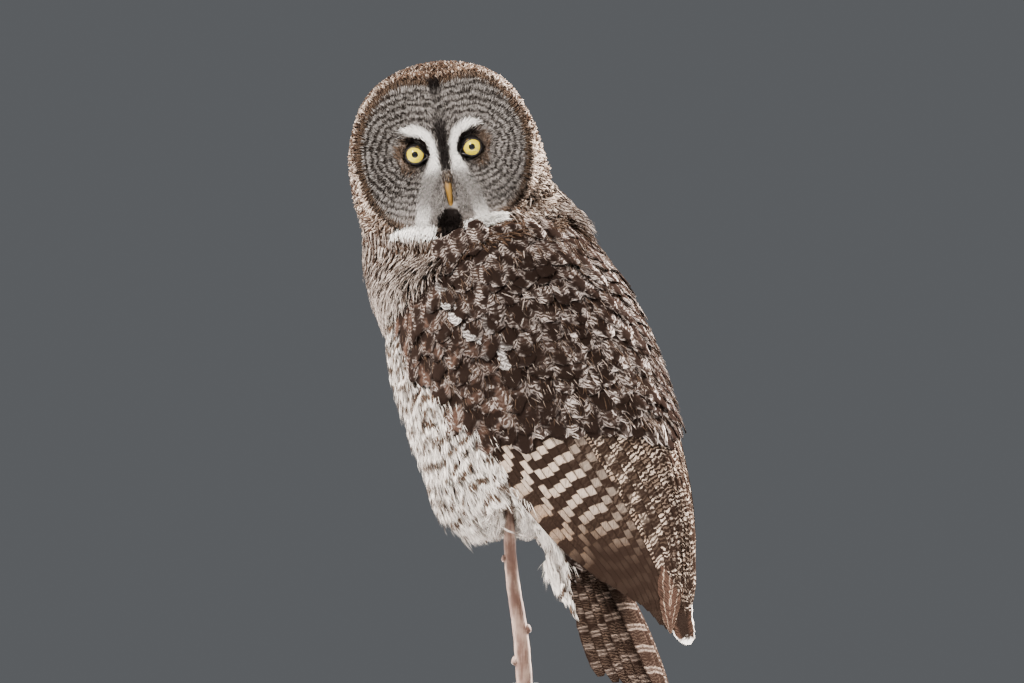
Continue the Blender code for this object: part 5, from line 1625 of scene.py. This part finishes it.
# %% Wing tips
POINTED = ((0.0, 0.4), (0.3, 0.85), (0.55, 1.0), (0.8, 0.66), (1.0, 0.06))
TIPS = (  # root and tip on the left wing, half width and height in mm, white fringe
    ((-0.225, 1.02), (-0.292, 0.62), 11.0, -1.5, 1.0),
    ((-0.192, 0.88), (-0.276, 0.30), 12.0, 1.5, 0.0),
)


def tip_finish():
    """Brown with pale lines that follow the edges; a white fringe where the feather has one."""
    finish = Finish("wing_tips", 0.85, specular_ior_level=0.0)
    across, along = finish.uv()
    fringe, off = finish.attribute("fringe"), (across - 0.5).size() * 2.0
    rough = finish.noise(finish.place(), 260.0, 3)
    barbs = finish.noise(finish.vector(across * 3.0, (along + off * 0.10) * 90.0, 0.0), 1.0, 2)
    lines = (off * 12.0 + along * 7.0 + rough * 5.0).sine().eased(0.75, 1.0) * barbs.eased(0.35, 0.6)
    brown = finish.mix(paint(0.016, 0.0095, 0.007), paint(0.058, 0.033, 0.024), barbs.eased(0.35, 0.65))
    colour = finish.mix(brown, paint(0.22, 0.16, 0.12), lines * (fringe * -1.0 + 1.0))
    colour = finish.mix(colour, paint(0.014, 0.009, 0.007), fringe * (off + along * 0.5).eased(1.05, 0.70))
    edge = (off.most(along) + (rough - 0.5) * 0.2).eased(0.88, 0.96)
    colour = finish.mix(colour, paint(0.80, 0.72, 0.66), fringe * edge)
    finish.feed("Base Color", colour)
    finish.bump(barbs, 0.0005, 0.6)
    return finish


def make_tips():
    coat = Coat("wing_tips")
    for k, (root, tip, half, top, fringe) in enumerate(TIPS):
        line, normal = feather_lines(-1, np.array([root]), np.array([tip]), -0.0050, top * MM, FLIGHT_ROWS)
        add_vanes(
            coat, line, normal, np.array([half * MM]), ROUND if fringe else POINTED, strips(k, 1, len(TIPS)),
            {"fringe": np.array([fringe])}, 90 + k, FLIGHT_COLUMNS, camber=0.10, ragged=0.10,
            size=(0.9 / len(TIPS), 0.96),
        )
    coat.done(tip_finish(), "flight_feathers", "wing_left")


make_tips()

# %% [markdown]
# ## Mantle and coverts
# From the neck to the greater coverts the back is shingled with soft round feathers, dark brown with pale
# scribbles and flecks. They run in staggered rows round the back and over both wings, so one loop over
# rows lays them all, and the side of the spine decides which piece each belongs to.

# %% Contour feathers of the back
ROW_PITCH, COVER_LAST = 0.0128, -0.040
SCAPULAR_LINE = 0.31  # where the white-edged shoulder feathers run, as a share of the way round the wing


def contour_rows(draw):
    """Root and tip of every contour feather as (z, degrees), with its size."""
    roots, tips, sizes = [], [], []
    z, row = 0.148, 0
    while z > COVER_LAST:
        big = float(ease(0.13, 0.0, z))
        half, length, girth = 0.0096 + 0.0030 * big, 0.034 + 0.015 * big, 0.118
        edge = float(curve(WING_EDGE, z)) - 8 + 4 * float(ease(0.015, 0.045, z))
        step = math.degrees(half * 1.30 / girth)
        for k in range(int((360 - 2 * edge) / step) + 1):
            degrees = edge + step * (k + (0.5 if row % 2 else 0.0) + draw.uniform(-0.28, 0.28))
            if degrees > 360 - edge + 2:
                continue
            if z > 0.118 and min(degrees, 360 - degrees) < edge + 32:
                continue
            slope = 0.030 * abs(math.sin(math.radians(degrees))) ** 2 + 0.004 * math.sin(degrees * 0.55)
            start = z + slope - 0.014 + draw.uniform(-0.0062, 0.0062)
            roots.append((start, degrees))
            end = start - length * draw.uniform(0.80, 1.18)
            tips.append((end, degrees + (degrees - 180) * 0.02 + draw.uniform(-3.5, 3.5)))
            sizes.append(half * draw.uniform(0.85, 1.15))
        z -= ROW_PITCH
        row += 1
    return np.array(roots), np.array(tips), np.array(sizes)


def make_contour():
    draw = np.random.default_rng(81)
    roots, tips, sizes = contour_rows(draw)
    t = np.linspace(0, 1, 10)
    z = roots[:, None, 0] + (tips - roots)[:, None, 0] * t
    turn = roots[:, None, 1] + (tips - roots)[:, None, 1] * t
    turn = np.where(turn > 180, turn - 360, turn)
    rise = -0.0065 + 0.0078 * t**0.55 + draw.uniform(-0.0008, 0.0016, len(z))[:, None] * t
    rise = rise - 0.0050 * ease(0.108, 0.140, z[:, :1])
    line = outline(z, turn, rise)
    normal = unit(outline(z, turn, 0.01) - outline(z, turn))
    line, normal = from_body(line), normal @ BODY
    middle = (np.abs(turn[:, 0]) > 180 - 1.3 * (180 - curve(WING_TOP, z[:, 0]))) & (z[:, 0] > 0.03)
    tip_z, tip_turn = z[:, -1], np.abs(turn[:, -1])
    edge, top = curve(WING_EDGE, tip_z), curve(WING_TOP, tip_z)
    share = (tip_turn - edge) / (top - edge)
    white = np.exp(-(((share - SCAPULAR_LINE) / 0.040) ** 2)) * ease(-0.01, 0.01, tip_z)
    white *= draw.uniform(0.5, 1.3, len(z))
    low = 1 - ease(0.10, 0.34, share)
    left = turn[:, 0] < 0
    groups = (
        ("coverts_left", "wing_left", left & ~middle), ("coverts_right", "wing_right", ~left & ~middle),
        ("mantle", "torso", middle),
    )
    for name, node, chosen in groups:
        n = int(chosen.sum())
        coat = Coat(name)
        facts = {
            "tone": draw.random(n), "warm": 0.15 + 0.75 * low[chosen] * draw.uniform(0.4, 1.0, n),
            "bright": (0.25 + 0.80 * draw.random(n)) * (0.40 + 0.50 * ease(0.25, 0.75, share[chosen]))
            * (1 - 0.30 * ease(0.075, 0.105, z[chosen, 0])),
            "white": white[chosen],
        }
        add_vanes(
            coat, line[chosen], normal[chosen], sizes[chosen], ROUND, body_sheet(line[chosen, 0]), facts,
            82, 7, camber=0.15, ragged=0.26, skew=0.08,
        )
        coat.done(cover, "flight_feathers" if node != "torso" else "body_plumage", node)


make_contour()

# %% [markdown]
# Loose barbs stand over the shingled rows. They are thin tufts in the neck's colours, and they soften the
# edges of the feathers below, as the fringe of an owl's plumage does.

# %% Loose barbs of the back
BARBS, BARB_LENGTH, BARB_HALF, BARB_RISE = 2800, 12.5 * MM, 0.42 * MM, 2.6 * MM


def make_barbs():
    draw = np.random.default_rng(85)
    z, share = draw.uniform(-0.100, 0.112, BARBS), draw.uniform(-0.04, 1.0, BARBS)
    side = np.where(draw.random(BARBS) < 0.5, -1.0, 1.0)
    edge = curve(WING_EDGE, z)
    turn = side * (edge + (179.5 - edge) * share)
    keep = (z > -0.045 - 0.055 * share) & ((z < 0.100) | (share > 0.25))
    z, turn, side, share = z[keep], turn[keep], side[keep], share[keep]
    n = len(z)
    here = outline(z, turn, np.full(n, -0.0006))
    normals = unit(outline(z, turn, np.full(n, 0.01)) - here) @ BODY
    roots = from_body(here)
    lie = combed(-BODY[2], normals, 0.24, draw)
    pale = draw.normal(0.02, 0.24, n) + 0.10 * ease(0.05, -0.04, z) - 0.15 * ease(0.30, 0.10, share)
    facts = tuft_facts(n, tone=draw.random(n), pale=np.clip(pale, 0, 0.55), buff=0.25 * draw.random(n))
    length, rise = BARB_LENGTH * draw.uniform(0.6, 1.3, n), BARB_RISE * draw.uniform(0.4, 1.2, n)
    half = np.empty(n)
    tufts = (roots, normals, lie, length, half, rise, 0.2 * rise, body_sheet(roots))
    for name, node, part in (("barbs_left", "wing_left", side < 0), ("barbs_right", "wing_right", side > 0)):
        half[part] = BARB_HALF * draw.uniform(0.7, 1.4, part.sum())
        lay_coat(name, neck_finish, "flight_feathers", [node], tufts, facts, part)


make_barbs()

# %% [markdown]
# ## Tail
# Twelve broad feathers fan from the rump, the middle pair uppermost and longest. They are dark brown with
# wavy grey bars. Two rows of coverts lie over their roots.

# %% Tail feathers
TAIL_LINE = ((-0.128, 0.002), (-0.232, 0.0025), (-0.311, 0.0110))
TAIL_ROOT, TAIL_TIP = -0.155, -0.311
TAIL_HALF, TAIL_DROOP, TAIL_SHORTER = 0.056, 0.022, 0.030
TAIL_SHAPE = ((0.0, 0.5), (0.3, 0.9), (0.6, 1.0), (0.8, 0.88), (0.93, 0.62), (1.0, 0.25))
TAIL_SWAY = 0.007  # its tip hangs a little to the right
TAIL_VANE, RUMP_VANE = 12.8 * MM, 12.5 * MM  # half widths
TAIL_COLOURS = (0.0110, 0.0066, 0.0050), (0.22, 0.170, 0.142), (0.15, 0.095, 0.062)


def tail_point(z, x, down):
    """Points of the tail's arched fan, x across it, moved towards its underside by down."""
    droop = TAIL_DROOP * (x / TAIL_HALF) ** 2 * ease(-0.12, -0.2, z)
    return np.stack((x, curve(TAIL_LINE, z) + droop + down, z), -1)


def tail_normal(x):
    """The way out of the tail's upper side."""
    return unit(np.stack((2 * TAIL_DROOP * x / TAIL_HALF**2, -np.ones_like(x), 0 * x), 1))


def make_tail():
    draw = np.random.default_rng(91)
    t = np.linspace(0, 1, 26)
    lines, normals = [], []
    for side in (-1, 1):
        for k in range(6):
            layer = (1.5 * (k + 1) if k else (0.0 if side < 0 else 1.5)) * MM
            first, last = side * 0.0042 * (k + 0.6), side * (0.005 + 0.0096 * k)
            z = TAIL_ROOT + (TAIL_TIP + TAIL_SHORTER * (k / 5) ** 1.8 - TAIL_ROOT) * t
            x = first + (last - first) * t**0.8 + TAIL_SWAY * t**1.2
            lines.append(tail_point(z, x, (7.0 * (1 - t) ** 1.5 + 0.4) * MM + layer))
            normals.append(tail_normal(x))
    n = len(lines)
    facts = {
        "tone": draw.random(n), "warm": np.full(n, 0.25), "barred": draw.uniform(0.45, 0.70, n),
        "grey": draw.uniform(0.2, 0.7, n), "bars": np.full(n, 7.0),
    }
    coat = Coat("tail_feathers")
    add_vanes(
        coat, from_body(np.array(lines)), np.array(normals) @ BODY, np.full(n, TAIL_VANE), TAIL_SHAPE,
        strips(0, n, n), facts, 92, 9, camber=0.05, ragged=0.05, tilt=np.repeat((0.06, -0.06), 6),
        size=(0.9 / n, 0.96),
    )
    coat.done(flight_finish("tail_plumage", *TAIL_COLOURS, thin=True), "flight_feathers", "tail")


make_tail()

# %% Coverts over the tail's root
RUMP_ROWS = ((-0.118, -0.186, 7, -0.006), (-0.095, -0.160, 6, -0.010))  # root, tip, how many, height


def make_rump():
    draw = np.random.default_rng(93)
    t = np.linspace(0, 1, 10)
    lines, normals = [], []
    for z_root, z_tip, count, out in RUMP_ROWS:
        for k in range(count):
            x = 0.052 * (2 * (k + 0.5) / count - 1) * (1 - 0.15 * t)
            z = z_root + (z_tip - z_root) * t + draw.uniform(-0.004, 0.004)
            lines.append(tail_point(z, x, 0.004 * (1 - t) + out))
            normals.append(tail_normal(x))
    n = len(lines)
    line = from_body(np.array(lines))
    facts = {
        "tone": draw.random(n), "warm": np.full(n, 0.2), "bright": draw.uniform(0.2, 0.45, n),
        "white": np.zeros(n),
    }
    coat = Coat("tail_coverts")
    add_vanes(
        coat, line, np.array(normals) @ BODY, np.full(n, RUMP_VANE), ROUND, body_sheet(line[:, 0]), facts,
        94, 7, camber=0.10, ragged=0.12,
    )
    coat.done(cover, "flight_feathers", "tail")


make_rump()

# %% [markdown]
# ## Down under the tail
# Soft pale down hangs from the vent, cut to a wedge by the hem, and a narrower strip of it runs along the
# tail's left side.

# %% Undertail down
VENT_FANS, EDGE_FANS = 760, 90
VENT_HANG = unit(-0.65 * BODY[2] + 0.35 * np.array((0, 0, -1.0)))
EDGE_OUT = unit(-0.8 * BODY[0] + 0.2 * BODY[1])


def make_undertail():
    draw = np.random.default_rng(95)
    n, m = VENT_FANS, EDGE_FANS
    z, turn = draw.uniform(-0.170, -0.092, n), np.radians(draw.uniform(-80, 100, n))
    size = 0.046 + 0.01 * (z + 0.092)
    vent = np.stack((size * np.sin(turn), 0.006 + size * np.cos(turn), z), 1)
    edge_z = draw.uniform(-0.210, -0.150, m)
    edge_x = -0.050 + draw.uniform(-0.003, 0.003, m)
    edge = np.stack((edge_x, 0.030 + draw.uniform(-0.004, 0.006, m), edge_z), 1)
    roots = from_body(np.concatenate((vent, edge)))
    outwards = unit(np.stack((np.sin(turn), np.cos(turn), 0 * z), 1) @ BODY)
    normals = np.concatenate((outwards, np.tile(EDGE_OUT, (m, 1))))
    way = np.concatenate((np.tile(VENT_HANG, (n, 1)), np.tile(-BODY[2], (m, 1))))
    keep = roots[:, 2] > curve(HEM, roots[:, 0]) + 0.006
    roots, normals, lie = roots[keep], normals[keep], laid(way[keep], normals[keep])
    x, _, z = to_body(roots).T
    length = np.where(x < -0.0465, 0.022, 0.034) * draw.uniform(0.8, 1.1, len(x))
    spots = ease(0.1, 0.8, np.sin(z * 300) + draw.normal(0, 0.5, len(x)))
    fans = (roots, normals, lie, length, np.full(len(x), 0.0050), spots, np.zeros(len(x)))
    lay_loose("undertail_down", "tail", *fans, 0.20, 10, 0.00070, draw)


make_undertail()

# %% [markdown]
# ## Stem
# The owl grips the cut tip of a thin sapling: smooth reddish-grey bark with a few buds.

# %% Stem and buds
# The stem's middle line as (height, world x), and its buds as (height, degrees round it, size)
STEM_Y, STEM_FOOT, STEM_TIP = 0.030, 0.0078, 0.0049
STEM_LINE = ((0.043, -0.0205), (0.100, -0.0248), (0.160, -0.0334), (0.228, -0.0370), (0.262, -0.0375))
BUDS = ((0.1745, 180, 0.0040), (0.1075, 0, 0.0050), (0.0770, 170, 0.0050))


def stem_point(z):
    z = np.asarray(z, float)
    return np.stack((curve(STEM_LINE, z), np.full_like(z, STEM_Y), z), -1)


def stem_radius(z):
    return STEM_FOOT + (STEM_TIP - STEM_FOOT) * ease(STEM_LINE[0][0], STEM_LINE[-1][0], z)


def bark_finish():
    finish = Finish("bark", 0.78, specular_ior_level=0.3)
    place = finish.place()
    squeeze = finish.node("ShaderNodeMapping", {}, {"Vector": place, "Scale": (1, 1, 0.12)})
    fibre = finish.noise(squeeze, 420.0, 4)
    patch = finish.noise(place, 55.0, 3)
    paler = (patch + (fibre - 0.5) * 0.5).eased(0.35, 0.68)
    colour = finish.mix(paint(0.100, 0.052, 0.038), paint(0.25, 0.168, 0.132), paler)
    finish.feed("Base Color", finish.mix(colour, paint(0.10, 0.055, 0.045), fibre.eased(0.60, 0.72) * 0.6))
    finish.bump(fibre + patch, 0.0008, 0.5)
    return finish


bark = bark_finish()
heights = np.linspace(STEM_LINE[0][0], STEM_LINE[-1][0], 60)
wobble = 1 + 0.018 * np.sin(heights * 310) + 0.012 * np.sin(heights * 733)
stem = grow("stem", stem_point(heights), stem_radius(heights) * wobble, 20, bark)
buds = []
for z, degrees, size in BUDS:
    out = np.array((math.cos(math.radians(degrees)), 0, 0))
    foot = stem_point(z) + out * float(stem_radius(z)) * 0.6
    rise = np.linspace(0, 1, 9)
    line = foot + rise[:, None] * (out * size * 0.9 + np.array((0, 0, size * 1.6)))
    swell = size * 0.95 * np.sin(np.pi * (0.12 + 0.85 * rise)) ** 0.8
    buds.append(grow("bud", line - np.array((0, 0, size * 0.9)), swell, 12, bark))
take(stem, *buds)
bpy.ops.object.join()
wear(stem, "bark", "perch_stem")

# %% [markdown]
# ## Feet
# Great grey owls have feathered toes. Each foot has two toes round either side of the stem, ending in a
# long dark claw.

# %% Toes and claws
TOE_RADIUS, CLAW_RADIUS, PALM_RADIUS, PALM_OUT, PALM_LIFT = 0.0046, 0.0024, 0.0090, 0.0155, 0.0035
TOE_TAPER = ((0, 1), (0.6, 0.97), (0.84, 0.62))
TOES = (  # degrees to the toe's start, degrees swept round the stem, and how far it moves along the stem
    (18, 100, 0.0), (-18, -100, 0.0), (30, 88, 0.0098), (-30, -88, 0.0098),
)
FEET = (("left", 0.2340, -140, -1), ("right", 0.2458, 40, 1))  # height, palm's side, way of the second pair


def beside_stem(z, degrees, out):
    turn = np.radians(degrees)
    return stem_point(z) + np.stack((np.cos(turn), np.sin(turn), 0 * turn), -1) * np.asarray(out)[..., None]


def skin_of_toes():
    finish = Finish("toe_down", 0.9, specular_ior_level=0.2)
    fleck = finish.noise(finish.place(), 380.0, 3)
    downy = finish.mix(paint(0.16, 0.12, 0.095), paint(0.62, 0.57, 0.50), fleck.eased(0.35, 0.6))
    finish.feed("Base Color", downy)
    finish.bump(fleck, 0.0009, 0.8)
    return finish


def claw_finish():
    finish = Finish("claw_horn", 0.3, coat_weight=0.3, coat_roughness=0.15)
    grain = finish.noise(finish.place(), 500.0, 2)
    finish.feed("Base Color", finish.mix(paint(0.012, 0.011, 0.011), paint(0.035, 0.03, 0.028), grain))
    return finish


toe_down, claw = skin_of_toes(), claw_finish()
for name, grip, palm_side, way in FEET:
    pieces = []
    palm_place = beside_stem(grip + way * PALM_LIFT, palm_side, PALM_OUT)
    select_nothing()
    bpy.ops.mesh.primitive_uv_sphere_add(segments=20, ring_count=12, radius=PALM_RADIUS, location=palm_place)
    palm = bpy.context.object
    put_at_origin(palm)
    palm.data.materials.append(toe_down.material)
    for start, sweep, shift in TOES:
        u = np.linspace(0, 0.84, 18)
        z = grip + way * shift * ease(0, 0.6, u)
        reach = stem_radius(z) + TOE_RADIUS - 0.0001
        out = reach + (PALM_OUT - reach) * (1 - ease(0, 0.28, u))
        line = beside_stem(z, palm_side + start * ease(0, 0.3, u) + sweep * u, out)
        thick = TOE_RADIUS * (1 + 0.07 * np.sin(u * 38)) * curve(TOE_TAPER, u)
        pieces.append(grow("toe", line, thick, 14, toe_down))
        u = np.linspace(0.80, 1.12, 10)
        z = grip + way * shift * ease(0, 0.6, u) - 0.001 * (u - 0.8)
        out = stem_radius(z) + TOE_RADIUS * (0.95 - 1.1 * (u - 0.8))
        line = beside_stem(z, palm_side + start + sweep * u, out)
        pieces.append(grow("claw", line, CLAW_RADIUS * (1 - ((u - 0.80) / 0.325) ** 1.4), 12, claw))
    take(palm, *pieces)
    bpy.ops.object.join()
    palm.name = "toes_" + name
    palm.data.shade_smooth()
    wear(palm, "toes", "foot_" + name)

# %% [markdown]
# ## Stand
# The stand is not in the photo. It is kept plain: a square plate of satin black metal with a broad bevel,
# a short steel rod and a turned collar that holds the cut stem.

# %% Base plate
BASE_SIDE, BASE_THICK, BASE_CORNER, BASE_EDGE = 0.300, 0.018, 0.030, 0.003
SHARP = math.radians(35)  # steeper edges than this stay sharp in the shading


def make_base():
    select_nothing()
    bpy.ops.mesh.primitive_cube_add(
        size=1, location=(0, 0, BASE_THICK / 2), scale=(BASE_SIDE, BASE_SIDE, BASE_THICK),
    )
    base = bpy.context.object
    put_at_origin(base)
    bpy.ops.object.mode_set(mode="EDIT")
    bpy.ops.mesh.select_mode(type="EDGE")
    bpy.ops.mesh.select_all(action="DESELECT")
    work = bmesh.from_edit_mesh(base.data)
    for edge in work.edges:
        a, b = edge.verts
        if abs(a.co.z - b.co.z) > BASE_THICK / 2:
            edge.select_set(True)
    bmesh.update_edit_mesh(base.data)
    bpy.ops.mesh.bevel(offset=BASE_CORNER, segments=14, affect="EDGES")
    bpy.ops.mesh.select_all(action="DESELECT")
    work = bmesh.from_edit_mesh(base.data)
    for edge in work.edges:
        if all(v.co.z > BASE_THICK - 1e-5 for v in edge.verts) and len(edge.link_faces) == 2:
            if any(abs(f.normal.z) < 0.5 for f in edge.link_faces):
                edge.select_set(True)
    bmesh.update_edit_mesh(base.data)
    bpy.ops.mesh.bevel(offset=BASE_EDGE, segments=5, affect="EDGES")
    bpy.ops.object.mode_set(mode="OBJECT")
    take(base)
    bpy.ops.object.shade_smooth_by_angle(angle=SHARP)
    base.name = "base_plate"
    return base


def paint_finish():
    finish = Finish("stand_paint", 0.5, specular_ior_level=0.12)
    orange = finish.noise(finish.place(), 900.0, 2)
    dust = finish.noise(finish.place(), 14.0, 3)
    finish.feed("Base Color", finish.mix(paint(0.008, 0.008, 0.009), paint(0.018, 0.018, 0.019), dust))
    finish.feed("Roughness", dust * 0.15 + 0.42)
    finish.bump(orange, 0.0001, 0.3)
    return finish


def steel_finish():
    finish = Finish("stand_steel", 0.3, metallic=1.0)
    fine = finish.node("ShaderNodeMapping", {}, {"Vector": finish.place(), "Scale": (0.2, 0.2, 8.0)})
    brushed = finish.noise(fine, 400.0, 3)
    finish.feed("Base Color", finish.mix(paint(0.42, 0.42, 0.43), paint(0.56, 0.56, 0.57), brushed))
    finish.feed("Roughness", brushed * 0.2 + 0.24)
    finish.bump(brushed, 0.0001, 0.4)
    return finish


base = make_base()
base.data.materials.append(paint_finish().material)
wear(base, "stand_paint", "stand_base")

# %% Rod and collar
COLLAR = np.array((  # height and radius in mm: the foot, the flank with a turned groove, the lip, the socket
    (36.0, 8.5), (38.0, 10.5), (39.6, 13.6), (40.5, 14.0), (49.0, 14.0), (49.4, 13.4), (50.2, 13.4),
    (50.6, 14.0), (53.5, 14.0), (54.6, 13.3), (55.0, 12.5), (55.0, 9.2), (45.0, 9.0),
)) * MM
ROD = np.array(((18.0, 7.2), (18.6, 7.2), (19.2, 6.0), (35.0, 6.0), (36.0, 6.0))) * MM
steel = steel_finish()
stand_x, stand_y, _ = stem_point(STEM_LINE[0][0])
for name, profile, sides in (("collar", COLLAR, 48), ("rod", ROD, 32)):
    piece = grow(name, [(stand_x, stand_y, z) for z, _ in profile], profile[:, 1], sides, steel)
    take(piece)
    bpy.ops.object.shade_smooth_by_angle(angle=SHARP)
    wear(piece, "stand_steel", "stand_" + name)
